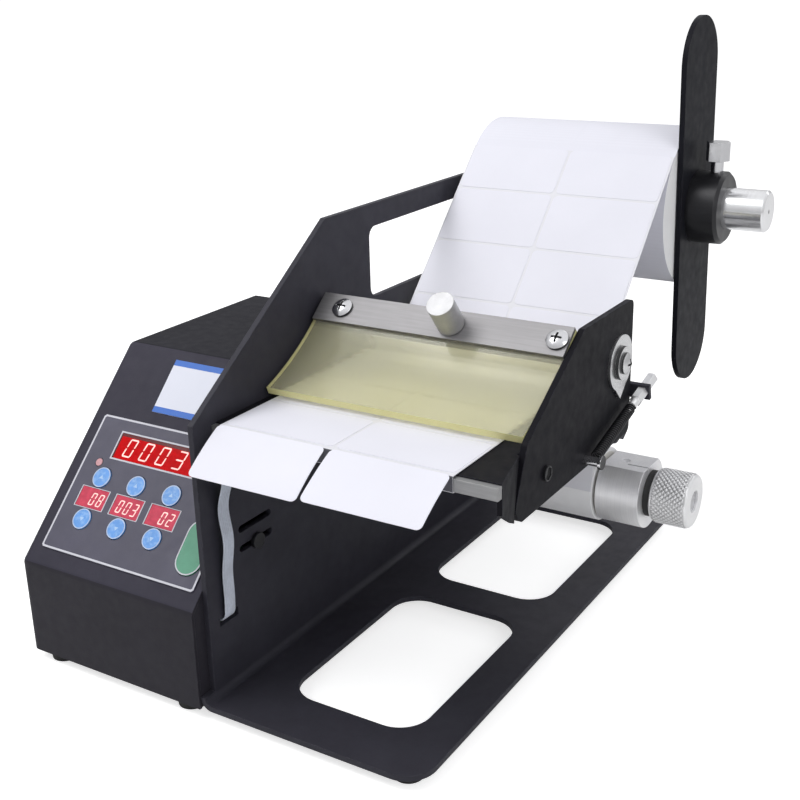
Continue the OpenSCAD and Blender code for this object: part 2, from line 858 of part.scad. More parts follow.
module drive_gear() {
  color("ivory") place() difference() {
    gear(gear_x0, gear_x1, drive_at, gear_teeth, motor_angle + 180 / gear_teeth);
    rod(gear_x0 - over, gear_x1 + over, drive_at, drive_shaft_r);
  }
}

module drive_shaft() {
  color(steel) place() {
    rod(gear_x0, side_x0 - gap, drive_at, drive_shaft_r);
    rod(web_x0, web_x1, drive_at, drive_r - rubber_wall);
  }
}

module drive_rubber() {
  color([0.12, 0.12, 0.12]) place() tube(web_x0, web_x1, drive_at, drive_r, drive_r - rubber_wall);
}

bush_t = 3.5;
bush_r = 6;
module shaft_bearings() {
  color(steel) place() {
    tube(-frame_t - housing_t, -frame_t, drive_at, housing_r, drive_shaft_r + running_fit);
    tube(side_x0 - bush_t, side_x0, drive_at, bush_r, drive_shaft_r + running_fit);
    tube(-frame_t - housing_t, -frame_t, rewind_at, housing_r, rewind_r + running_fit);
  }
}

module rewind_belt() {
  color([0.15, 0.15, 0.16]) place()
    side_on((belt_x0 + belt_x1 - belt_t) / 2, (belt_x0 + belt_x1 + belt_t) / 2)
    difference() {
      polygon(loop_round(motor_at, small_pulley_r + gap + belt_t * 0.7,
        rewind_at, large_pulley_r + gap + belt_t * 0.7));
      polygon(loop_round(motor_at, small_pulley_r + gap, rewind_at, large_pulley_r + gap));
    }
}

module rewind_pulley() {
  color("ivory") place() difference() {
    pulley(belt_x0, belt_x1, rewind_at, large_pulley_r);
    rod(belt_x0 - over, belt_x1 + over, rewind_at, rewind_r / 2);
  }
}

// Rewinder
module rewind_spindle() {
  color(steel) place() {
    rod(belt_x0, gear_x1, rewind_at, rewind_r / 2);
    rod(gear_x1, clamp_x1, rewind_at, rewind_r);
    rod(clamp_x1, knob_x1 - spindle_chamfer, rewind_at, knob_stud_r);
  }
}

module rewind_core() {
  color([0.9, 0.9, 0.88]) place() tube(web_x0, web_x1, rewind_at, rewind_core_r, rewind_r);
}

module wound_liner() {
  color(paper) place() tube(web_x0, web_x1, rewind_at, liner_r, rewind_core_r);
}

module rewind_clamp() {
  screw_x = clamp_x0 + clamp_l * 0.4;
  color(chrome) place() {
    difference() {
      tube(clamp_x0, clamp_x1, rewind_at, clamp_r, rewind_r);
      translate([clamp_x0 - over, rewind_y - clamp_r, rewind_z + clamp_flat])
        cube([clamp_l + 2 * over, 2 * clamp_r, clamp_r]);
      translate([screw_x, rewind_y, rewind_z]) cylinder(r = set_screw_r, h = clamp_r);
      translate([clamp_x0 + clamp_l / 2, rewind_y - 2 * set_screw_r, rewind_z + rewind_r / 2])
        cube([clamp_l, set_screw_r / 2, clamp_r]);
    }
    translate([screw_x, rewind_y, rewind_z + rewind_r])
      cylinder(r = set_screw_r, h = (clamp_flat - rewind_r) / 2);
  }
}

module friction_ring() {
  color([0.1, 0.1, 0.1]) place() tube(clamp_x1, clamp_x1 + ring_t, rewind_at, ring_r, knob_stud_r);
}

knurls = 40;
knurl_depth = 0.4;
module lock_knob() {
  edge = knob_l * 0.12;
  color(chrome) place() difference() {
    union() {
      side_on(knob_x0 + edge, knob_x1 - edge) translate(rewind_at)
        polygon([for (i = [0:2 * knurls - 1])
          (knob_r - (i % 2) * knurl_depth) * [cos(180 * i / knurls), sin(180 * i / knurls)]]);
      rod(knob_x0, knob_x1, rewind_at, knob_r - 2 * knurl_depth);
    }
    rod(knob_x0 - over, knob_x1 + over, rewind_at, knob_stud_r + running_fit);
  }
}

// Supply spindle, roll and retaining bar
module supply_spindle() {
  color(steel) place() difference() {
    union() {
      rod(0, spindle_l - spindle_chamfer, spindle_at, spindle_r);
      translate([spindle_l - spindle_chamfer, spindle_y, spindle_z]) rotate([0, 90, 0])
        cylinder(r1 = spindle_r, r2 = spindle_r - spindle_chamfer, h = spindle_chamfer);
      rod(-spindle_stud_l, 0, spindle_at, spindle_stud_r);
      rod(0, web_x0 - 2 * gap, spindle_at, spindle_r + 2 * bush_wall);
    }
    rod(spindle_l - 3 * spindle_chamfer, spindle_l + over, spindle_at, spindle_chamfer);
  }
}

module core_bushes() {
  r = spindle_r + bush_wall;
  color(charcoal) place() for (x = [web_x0, web_x1 - bush_l])
    tube(x, x + bush_l, spindle_at, r, spindle_r + running_fit);
}

module label_roll() {
  color(paper) place() tube(web_x0, web_x1, spindle_at, roll_r, spindle_r + bush_wall);
}

module retaining_bar() {
  straight = bar_l - bar_w;
  color(charcoal) place() difference() {
    translate([0, spindle_y, spindle_z]) rotate([bar_lean, 0, 0]) side_on(bar_x0, collar_x0) {
      translate([-bar_w / 2, -straight / 2]) square([bar_w, straight]);
      for (s = [-1, 1]) translate([0, s * straight / 2]) circle(bar_w / 2);
    }
    rod(bar_x0 - over, collar_x0 + over, spindle_at, spindle_r + running_fit);
  }
}

module bar_collar() {
  edge = 1.5 * spindle_chamfer;
  color([0.08, 0.08, 0.09]) place() difference() {
    union() {
      rod(collar_x0, collar_x0 + collar_l - edge, spindle_at, collar_r);
      translate([collar_x0 + collar_l - edge, spindle_y, spindle_z]) rotate([0, 90, 0])
        cylinder(r1 = collar_r, r2 = collar_r - edge, h = edge);
    }
    rod(collar_x0 - over, collar_x0 + collar_l + over, spindle_at, spindle_r + running_fit);
    translate([bolt_x, spindle_y, spindle_z]) cylinder(r = bolt_r + running_fit, h = 2 * collar_r);
  }
}

bolt_lift = 2;
module clamp_bolt() {
  low = spindle_r + gap;
  seat = collar_r + bolt_shank;
  color(chrome) place() translate([bolt_x, spindle_y, spindle_z]) {
    translate([0, 0, low]) cylinder(r = bolt_r, h = seat - low);
    translate([0, 0, seat]) cylinder(r = bolt_head_r, h = bolt_head_h, $fn = 6);
  }
}

// Peel channel
module channel_floor() {
  y0 = peel_y + peel_d;
  run = side_front - 2 * gap - y0;
  turn = atan((peel_l - side_x1) / run);
  y1 = side_point(side_shares[4])[0] - side_corner_r;
  flange_h = floor_z - floor_t - tie_z - tie_r - gap;
  color(charcoal) place() {
    translate([0, 0, floor_z - floor_t]) linear_extrude(floor_t)
      polygon([[0, y0], [peel_l, y0], [peel_l - (y1 - y0) * tan(turn), y1],
        [side_x0 - gap, y1], [side_x0 - gap, floor_rear], [0, floor_rear]]);
    translate([peel_l, y0, 0]) rotate([0, 0, turn]) side_on(-floor_t, 0)
      polygon([[2 * floor_t * tan(turn), floor_z], [2 * floor_t * tan(turn), peel_bottom - peel_h * 1.3],
        [run / cos(turn), side_low + floor_t], [run / cos(turn), side_low + peel_h],
        [(y1 - y0) / cos(turn), floor_z]]);
    for (x = [0, side_x0 - floor_t - gap])
      translate([x, side_front + 2 * side_corner_r, floor_z - floor_t - flange_h])
        cube([floor_t, floor_rear - side_front - 2 * side_corner_r, flange_h]);
  }
}

module peel_bar() {
  color([0.55, 0.55, 0.56]) place() translate([0, peel_y, peel_bottom])
    cube([peel_l, peel_d, peel_h - floor_t / 4]);
}

function side_point(p) =
  [side_front + p[0] * (side_rear - side_front), side_low + p[1] * (side_top - side_low)];

module side_plate() {
  color(charcoal) place() side_on(side_x0, side_x1) difference() {
    polygon(rounded([for (p = side_shares) side_point(p)], side_corner_r));
    translate(pivot_at) circle(screw_r);
    translate([tie_y, tie_z]) circle(screw_r);
    translate([post_y, post_z]) circle(screw_r / 2);
  }
}

module cross_shafts() {
  color(steel) place() {
    rod(0, side_x0, pivot_at, pivot_r);
    rod(0, web_x1 + rod_r, rod_at, rod_r);
    rod(0, side_x0, [tie_y, tie_z], tie_r);
  }
}

// Frame of the clamp strip: Y runs up the strip, Z stands off its face
module on_strip() {
  translate([0, strip_y, strip_z]) rotate([strip_lean, 0, 0]) children();
}

module press_bracket() {
  color(charcoal) place() on_strip()
    translate([0, -strip_w, -strip_t - sheet_t - bracket_t])
      difference() {
        cube([channel_w - gap, strip_w, bracket_t]);
        for (x = concat(strip_screws, [thumb_x]))
          translate([x, strip_w / 2, -over])
            cylinder(r = thumb_stem_r + running_fit, h = bracket_t + 2 * over);
      }
}

module clamp_strip() {
  color(steel) place() on_strip() difference() {
    translate([strip_margin, -strip_w, -strip_t]) cube([channel_w - strip_margin - gap, strip_w, strip_t]);
    for (x = concat(strip_screws, [thumb_x]))
      translate([x, -strip_w / 2, -strip_t - over])
        cylinder(r = thumb_stem_r + running_fit, h = strip_t + 2 * over);
  }
}

// Pan-head screw standing on its face, with a cross recess
module pan_screw(length) {
  difference() {
    intersection() {
      translate([0, 0, screw_head_h - screw_head_r * 1.6]) sphere(screw_head_r * 1.6);
      cylinder(r = screw_head_r, h = screw_head_h);
    }
    for (a = [0, 90]) rotate([0, 0, a]) translate([-screw_head_r / 2, -screw_head_h / 6, screw_head_h / 2])
      cube([screw_head_r, screw_head_h / 3, screw_head_h]);
  }
  translate([0, 0, -length]) cylinder(r = thumb_stem_r, h = length);
}

module bright_screws() {
  depth = strip_t + sheet_t + bracket_t;
  color(chrome) place() {
    on_strip() for (x = strip_screws)
      translate([x, -strip_w / 2, 0]) pan_screw(depth);
    rod(side_x1, stud_x + 2 * post_r, [post_y, post_z], post_r);
    rod(stud_x + 1.5 * post_r, stud_x + 2.2 * post_r, [post_y, post_z], 1.5 * post_r);
    rod(side_x0, side_x1, [post_y, post_z], screw_r / 2);
  }
}

// Path of the press sheet: flat under the strip, then an arc that turns level
sheet_radius = sheet_l / (sheet_bend * PI / 180);
function sheet_path() =
  let (a = 180 + strip_lean)
  concat([[0, 0, a]],
    [for (i = [0:long_steps]) let (t = sheet_bend * i / long_steps)
      [-strip_w * cos(strip_lean) + sheet_radius * (sin(strip_lean - t) - sin(strip_lean)),
       -strip_w * sin(strip_lean) + sheet_radius * (cos(strip_lean) - cos(strip_lean - t)), a - t]]);

module press_sheet() {
  color(amber) place() difference() {
    translate([0, strip_y, strip_z]) side_on(strip_margin, channel_w - gap)
      translate([strip_t * sin(strip_lean), -strip_t * cos(strip_lean)])
        polygon(band(sheet_path(), 0, sheet_t));
    on_strip() for (x = concat(strip_screws, [thumb_x]))
      translate([x, -strip_w / 2, -3 * sheet_t]) cylinder(r = thumb_stem_r + running_fit, h = 4 * sheet_t);
  }
}

module thumb_screw() {
  depth = strip_t + sheet_t + bracket_t;
  color(chrome) place() on_strip() translate([thumb_x, -strip_w / 2, 0]) {
    translate([0, 0, gap]) cylinder(r = thumb_r, h = thumb_h);
    translate([0, 0, -depth]) cylinder(r = thumb_stem_r, h = depth + thumb_h / 2);
  }
}

// Pinch lever
module guide_roller() {
  color([0.85, 0.85, 0.83]) place() tube(web_x0, web_x1, pivot_at, guide_r, pivot_r + running_fit);
}

module pivot_washer() {
  tab = washer_r * 1.33;
  color(chrome) place() {
    side_on(side_x1, side_x1 + washer_t) difference() {
      union() {
        translate(pivot_at) circle(washer_r);
        polygon([pivot_at + [-washer_r * 0.75, -washer_r * 0.6], pivot_at + [0, -tab],
          pivot_at + [washer_r * 0.75, -washer_r * 0.6], pivot_at]);
      }
      translate(pivot_at) circle(screw_r);
    }
    tube(side_x1 + washer_t, side_x1 + 2 * washer_t, pivot_at, washer_r * 0.6, thumb_stem_r);
    translate([side_x1 + 2 * washer_t, pivot_y, pivot_z]) rotate([0, 90, 0]) pan_screw(washer_t);
  }
}

function along_stud(s) = [post_y + s * cos(stud_angle), post_z + s * sin(stud_angle)];
tab_s = (tab_y - post_y) / cos(stud_angle);
module lever_arm() {
  tab_at = along_stud(tab_s);
  h = 2 * arm_tip_r;
  color(charcoal) place() {
    difference() {
      side_on(arm_x0, arm_x1) union() {
        polygon(loop_round(pivot_at, arm_root_r, pinch_at, arm_tip_r));
        translate(tab_at) rotate(stud_angle) translate([-1.6 * arm_tip_r, -arm_tip_r])
          square([1.6 * arm_tip_r + tab_t, h]);
      }
      rod(arm_x0 - over, arm_x1 + over, pivot_at, pivot_r + running_fit);
    }
    difference() {
      translate([arm_x0, tab_at[0], tab_at[1]]) rotate([stud_angle, 0, 0])
        translate([0, 0, -tab_h / 2]) cube([stud_x + tab_h / 2 - arm_x0, tab_t, tab_h]);
      stud_rod(tab_s - over, tab_s + 2 * tab_t, stud_r + running_fit);
    }
    rod(web_x0 + gap, arm_x1, pinch_at, pinch_axle_r);
    hexagon(arm_x1, arm_x1 + pinch_axle_r, pinch_at, 1.6 * pinch_axle_r);
  }
}

// Round bar along the stud's line, between two distances from the post
module stud_rod(s0, s1, r) {
  at = along_stud(s0);
  translate([stud_x, at[0], at[1]]) rotate([stud_angle - 90, 0, 0]) cylinder(r = r, h = s1 - s0);
}

module adjusting_stud() {
  color(chrome) place() {
    stud_rod(tab_s - stud_front, tab_s + stud_back, stud_r);
    for (s = [[tab_s - 0.6 * stud_front, tab_s], [tab_s + tab_t, tab_s + stud_back - stud_r / 2]])
      stud_rod(s[0], s[1], 1.5 * stud_r, $fn = 6);
  }
}

module pinch_roller() {
  color([0.2, 0.2, 0.22]) place()
    tube(web_x0 + 2 * gap, web_x1, pinch_at, pinch_r, pinch_axle_r + running_fit);
}

// Spring: one helical tube from the post to the stud, with a short straight end at each
spring_s0 = post_r + gap;
spring_s1 = tab_s - stud_front - gap;
coil_start = spring_s0 + wire_t;
coil_end = spring_s1 - wire_t;
coil_pitch = (coil_end - coil_start) / coils;
ring_sides = 6;
rings_per_coil = 8;
function spring_centre(t) =
  let (s = coil_start + coil_pitch * t, a = 360 * t) [coil_r * cos(a), coil_r * sin(a), s];
function spring_ring(c, a, tilt) =
  [for (k = [0:ring_sides - 1]) let (b = 360 * k / ring_sides)
    let (u = wire_t / 2 * cos(b), w = wire_t / 2 * sin(b))
    [c[0] + u * cos(a) + w * sin(tilt) * sin(a),
     c[1] + u * sin(a) - w * sin(tilt) * cos(a), c[2] + w * cos(tilt)]];
spring_tilt = atan(coil_pitch / (2 * PI * coil_r));
corner_tilt = (90 + spring_tilt) / 2;
spring_turns = coils * rings_per_coil;
spring_rings = concat(
  [spring_ring([coil_r, 0, spring_s0], 0, 90), spring_ring(spring_centre(0), 0, corner_tilt)],
  [for (i = [1:spring_turns - 1]) let (t = i / rings_per_coil)
    spring_ring(spring_centre(t), 360 * t, spring_tilt)],
  [spring_ring(spring_centre(coils), 0, corner_tilt), spring_ring([coil_r, 0, spring_s1], 0, 90)]);
spring_gap = coil_pitch * cos(spring_tilt) - wire_t;
echo(least_spring_gap = spring_gap);

module spring_coils() {
  n = ring_sides;
  last = len(spring_rings) - 1;
  faces = concat(
    [for (i = [0:last - 1]) for (k = [0:n - 1]) let (k2 = (k + 1) % n)
      each [[i * n + k, (i + 1) * n + k, (i + 1) * n + k2], [i * n + k, (i + 1) * n + k2, i * n + k2]]],
    [for (k = [1:n - 2]) [0, k, k + 1]],
    [for (k = [1:n - 2]) [last * n, last * n + k + 1, last * n + k]]);
  polyhedron([for (ring = spring_rings) each ring], faces, convexity = 20);
}

module tension_spring() {
  color([0.2, 0.2, 0.2]) place()
    translate([stud_x, post_y, post_z]) rotate([stud_angle - 90, 0, 0]) spring_coils();
}

// Label web: down from the roll, under the guide rod, over the floor, round the peel bar,
// back to the rubber roller, through the nip and onto the rewinder
bar_top = [peel_y, floor_z];
bar_low = [peel_y, peel_bottom];
bar_bend = 0.2;
top_bend = [peel_y + bar_bend, floor_z - bar_bend + web_side_gap];
low_bend = [peel_y + bar_bend, peel_bottom + bar_bend];
web_bend = bar_bend + web_side_gap;
drive_s = -(drive_r + gap + web_t);
pinch_s = pinch_r + gap;
liner_s = liner_r + gap;
to_drive = run_dir(low_bend, web_bend, drive_at, drive_s);
at_nip = -90 - nip_angle;
to_rewind = run_dir(pinch_at, pinch_s, rewind_at, liner_s);
web_path = concat(
  wrap(spindle_at, roll_r + gap, 180 + web_angle, 180 + web_angle, 1),
  wrap(rod_at, -(rod_r + gap + web_t), 180 + web_angle, 180),
  wrap(top_bend, web_bend, 180, 270, arc_steps),
  wrap(low_bend, web_bend, 270, 360 + to_drive, arc_steps),
  wrap(drive_at, drive_s, to_drive, at_nip),
  wrap(pinch_at, pinch_s, at_nip, to_rewind, arc_steps),
  wrap(rewind_at, liner_s, to_rewind, to_rewind, 1));

module label_web() {
  color(paper) place() side_on(web_x0, web_x1) polygon(band(web_path, -web_t, 0));
}

module curled_label(x0, x1, droop, curl, r) {
  middle = [label_y + r * sin(droop), label_z - r * cos(droop)];
  side_on(x0, x1) polygon(band(wrap(middle, r, 180 + droop, 180 + droop + curl), -web_t, 0));
}

module peeled_labels() {
  half = (web_w - label_gap) / 2 - 2 * gap;
  color(paper) place() {
    curled_label(web_x0 + gap, web_x0 + gap + half, left_droop, left_curl, left_radius);
    curled_label(web_x1 - gap - half, web_x1 - gap, right_droop, right_curl, right_radius);
  }
}

// Sensor and its ribbon cable
sensor_w = 14;
sensor_d = 12;
sensor_h = peel_bottom - sensor_z - 4 * web_t;
sensor_eye = 2;
module label_sensor() {
  y = cable_y + cable_w / 4;
  color([0.12, 0.12, 0.12]) place() difference() {
    translate([0, y, sensor_z]) cube([sensor_w, sensor_d, sensor_h]);
    translate([sensor_w / 2, y + sensor_d / 2, sensor_z + sensor_h - sensor_eye])
      cylinder(r = sensor_eye, h = sensor_eye + over);
  }
}

// Ribbon cable drawn in X and Z: bulges off the plate, then turns into the slot
cable_bulge = 4;
cable_top = sensor_z;
function cable_points() =
  let (n = 2 * long_steps, foot = slot_z + cable_bulge)
  concat([for (i = [0:n]) let (t = i / n)
      [cable_t + cable_bulge * (1 - t) * (0.6 + 0.4 * cos(720 * t)),
        cable_top - t * (cable_top - foot), 270]],
    wrap([-cable_bulge + cable_t, foot], -cable_bulge, 270, 180, arc_steps),
    [[-frame_t - cable_bulge, foot - cable_bulge, 180]]);

module ribbon_cable() {
  color([0.7, 0.74, 0.8]) place() translate([0, cable_y + cable_w / 2, 0]) rotate([90, 0, 0])
    linear_extrude(cable_w) polygon(band(cable_points(), 0, cable_t));
}

// Rear fittings: a mains inlet and a rocker in one moulding
inlet_depth = 18;
inlet_rim = 3;
pin_shares = [[0.3, 0.62], [0.7, 0.62], [0.5, 0.35]];
module power_inlet() {
  back = box_y1;
  total = rocker_x + rocker_w + rocker_wall - inlet_x;
  floor_y = back - inlet_depth + inlet_rim;
  color([0.1, 0.1, 0.1]) place() difference() {
    union() {
      translate([inlet_x - inlet_rim, back, inlet_z - inlet_rim])
        cube([total + 2 * inlet_rim, inlet_rim / 2, inlet_h + 2 * inlet_rim]);
      translate([inlet_x + gap, back - inlet_depth, inlet_z + gap])
        cube([total - 2 * gap, inlet_depth, inlet_h - 2 * gap]);
    }
    translate([inlet_x + inlet_rim, floor_y, inlet_z + inlet_rim])
      cube([inlet_w - 2 * inlet_rim, inlet_depth + inlet_rim, inlet_h - 2 * inlet_rim]);
    translate([rocker_x, floor_y, inlet_z + (inlet_h - rocker_h) / 2])
      cube([rocker_w, inlet_depth + inlet_rim, rocker_h]);
  }
  color(steel) place() for (p = pin_shares)
    translate([inlet_x + p[0] * inlet_w, floor_y, inlet_z + p[1] * inlet_h])
      rotate([-90, 0, 0]) cylinder(r = inlet_rim / 3, h = inlet_depth * 0.45);
}

rocker_tilt = 8;
rocker_pivot_y = box_y1 - rocker_h * 0.23;
rocker_pivot_z = inlet_z + inlet_h / 2;
module power_switch() {
  half = rocker_h * 0.43;
  front = rocker_h * 0.35;
  color("red") place() translate([rocker_x + loose, rocker_pivot_y, rocker_pivot_z])
    rotate([-rocker_tilt, 0, 0]) {
      rotate([90, 0, 90]) linear_extrude(rocker_w - 2 * loose)
        polygon([[-front, -half], [front, -half], [front * 0.8, 0], [front, half], [-front, half]]);
      for (x = [-loose, rocker_w - 2 * loose]) translate([x, 0, 0]) rotate([0, 90, 0])
        cylinder(r = front / 4, h = loose);
    }
}

// Feet and screws
module rubber_feet() {
  inset = 1.7 * foot_pad_r;
  box_inset = 1.3 * foot_pad_r;
  color([0.1, 0.1, 0.1]) place() {
    for (x = [box_x0 + inset, box_x1 - inset]) for (y = [box_y0 + box_inset, box_y1 - box_inset])
      translate([x, y, -foot_h]) cylinder(r1 = foot_pad_r * 0.9, r2 = foot_pad_r, h = foot_h);
    for (y = [inset, foot_l - inset]) translate([foot_w - inset, y, -foot_h])
      cylinder(r1 = foot_pad_r * 0.9, r2 = foot_pad_r, h = foot_h);
  }
}

module frame_screws() {
  head = 1.8 * screw_r;
  color([0.15, 0.15, 0.15]) place() {
    difference() {
      rod(side_x1, side_x1 + screw_r * 0.6, [tie_y, tie_z], head * 0.85);
      hexagon(side_x1 + screw_r * 0.2, side_x1 + screw_r, [tie_y, tie_z], screw_r * 1.4);
    }
    rod(side_x0, side_x1, [tie_y, tie_z], screw_r);
    for (at = [[tie_y, tie_z], rod_at, pivot_at]) rod(-frame_t, 0, at, screw_r);
    rod(-frame_t - screw_r, -frame_t, pivot_at, head);
    difference() {
      hexagon(-frame_t - nut_t, -frame_t, spindle_at, 2 * spindle_stud_r);
      rod(-frame_t - nut_t - over, 0, spindle_at, spindle_stud_r);
    }
    rod(0, screw_r, [slot_y + slot_l / 2, slot_rows[0] + slot_h / 2], head);
    rod(-frame_t - screw_r, 0, [slot_y + slot_l / 2, slot_rows[0] + slot_h / 2], slot_h / 2.1);
  }
}

base_frame();
box_cover();
box_bottom();
rear_panel();
panel_overlay();
blank_plate();
led_displays();
panel_board();
speed_up_key();
speed_down_key();
length_up_key();
length_down_key();
delay_up_key();
delay_down_key();
confirm_key();
control_board();
gear_motor();
motor_bracket();
motor_pinion();
drive_gear();
drive_shaft();
drive_rubber();
shaft_bearings();
rewind_belt();
rewind_pulley();
rewind_spindle();
rewind_core();
wound_liner();
rewind_clamp();
friction_ring();
lock_knob();
supply_spindle();
core_bushes();
label_roll();
retaining_bar();
bar_collar();
clamp_bolt();
channel_floor();
peel_bar();
side_plate();
cross_shafts();
press_bracket();
clamp_strip();
bright_screws();
press_sheet();
thumb_screw();
guide_roller();
pivot_washer();
lever_arm();
adjusting_stud();
pinch_roller();
tension_spring();
label_web();
peeled_labels();
label_sensor();
ribbon_cable();
power_inlet();
power_switch();
rubber_feet();
frame_screws();
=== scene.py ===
"""Looks of the desktop label peeling machine.

Lengths are in millimetres of the machine's working frame: x from the upright's face, y from
the foot plate's front edge, z from its underside. at() turns a place there into the row
frame, in metres."""
import math

import bpy
import bmesh
from mathutils import Matrix, Vector


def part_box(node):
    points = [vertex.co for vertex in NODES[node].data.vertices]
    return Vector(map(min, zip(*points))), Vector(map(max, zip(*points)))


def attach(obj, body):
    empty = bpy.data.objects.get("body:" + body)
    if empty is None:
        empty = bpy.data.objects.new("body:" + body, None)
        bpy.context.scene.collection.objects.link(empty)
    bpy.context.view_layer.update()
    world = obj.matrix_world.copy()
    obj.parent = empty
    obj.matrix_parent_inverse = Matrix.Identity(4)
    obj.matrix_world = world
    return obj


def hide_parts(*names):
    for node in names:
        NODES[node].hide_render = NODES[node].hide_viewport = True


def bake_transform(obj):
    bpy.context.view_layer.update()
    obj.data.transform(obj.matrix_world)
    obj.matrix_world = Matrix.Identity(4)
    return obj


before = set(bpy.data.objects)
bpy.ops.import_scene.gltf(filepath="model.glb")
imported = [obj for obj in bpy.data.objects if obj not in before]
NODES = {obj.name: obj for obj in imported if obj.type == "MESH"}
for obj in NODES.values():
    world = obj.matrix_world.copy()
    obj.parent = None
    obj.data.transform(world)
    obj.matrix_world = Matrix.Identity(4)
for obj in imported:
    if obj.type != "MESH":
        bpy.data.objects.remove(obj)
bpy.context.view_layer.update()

FRAME_T = 2.5
base_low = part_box("base_frame")[0]
CX = -FRAME_T - base_low.x * 1000
CY = -base_low.y * 1000
CZ = base_low.z * 1000


def at(x, y, z):
    """A place of the working frame in the row frame, in metres."""
    return Vector(((x - CX) / 1000, (y - CY) / 1000, (z + CZ) / 1000))


# ---------------------------------------------------------------- camera
CAMERA = dict(place=(301.8, -321.9, 293.0), yaw=32.17, pitch=19.97, roll=1.436, lens=54.68)


def make_camera():
    """The photograph's camera, from its place, its three turns in degrees and its lens."""
    yaw, pitch, roll = (math.radians(CAMERA[k]) for k in ("yaw", "pitch", "roll"))
    ahead = Vector((-math.sin(yaw) * math.cos(pitch), math.cos(yaw) * math.cos(pitch),
                    -math.sin(pitch)))
    level = Vector((math.cos(yaw), math.sin(yaw), 0))
    right = level * math.cos(roll) + ahead.cross(level) * math.sin(roll)
    down = ahead.cross(right)
    data = bpy.data.cameras.new("camera")
    data.lens, data.sensor_width = CAMERA["lens"], 36
    data.clip_start, data.clip_end = 0.01, 100
    camera = bpy.data.objects.new("camera", data)
    turn = Matrix((right, -down, -ahead)).transposed().to_4x4()
    camera.matrix_world = Matrix.Translation(at(*CAMERA["place"])) @ turn
    bpy.context.scene.collection.objects.link(camera)
    bpy.context.scene.camera = camera


make_camera()
bpy.context.scene.view_settings.view_transform = "Standard"


# ---------------------------------------------------------------- materials
class Tree:
    """Short ways to add and link the nodes of one tree."""

    def __init__(self, tree):
        self.tree = tree

    def add(self, kind, **values):
        node = self.tree.nodes.new("ShaderNode" + kind)
        for key, value in values.items():
            setattr(node, key, value)
        return node

    def link(self, a, b):
        self.tree.links.new(a, b)

    def feed(self, socket, value):
        """Links a node's output to the socket, or sets a number or a colour on it."""
        if isinstance(value, bpy.types.NodeSocket):
            self.link(value, socket)
        elif isinstance(value, tuple):
            socket.default_value = (*value, 1)
        else:
            socket.default_value = value

    def math(self, operation, *values):
        node = self.add("Math", operation=operation)
        for socket, value in zip(node.inputs, values):
            self.feed(socket, value)
        return node.outputs[0]

    def ranged(self, fac, low, high, src=(0.3, 0.7)):
        """Takes a value from the range src, where noise mostly stays, to low and high."""
        node = self.add("MapRange")
        names = ("From Min", "From Max", "To Min", "To Max")
        for name, value in zip(names, (*src, low, high)):
            node.inputs[name].default_value = value
        self.link(fac, node.inputs["Value"])
        return node.outputs["Result"]

    def split(self, vector):
        """The X, Y and Z outputs of a vector."""
        node = self.add("SeparateXYZ")
        self.link(vector, node.inputs[0])
        return node.outputs


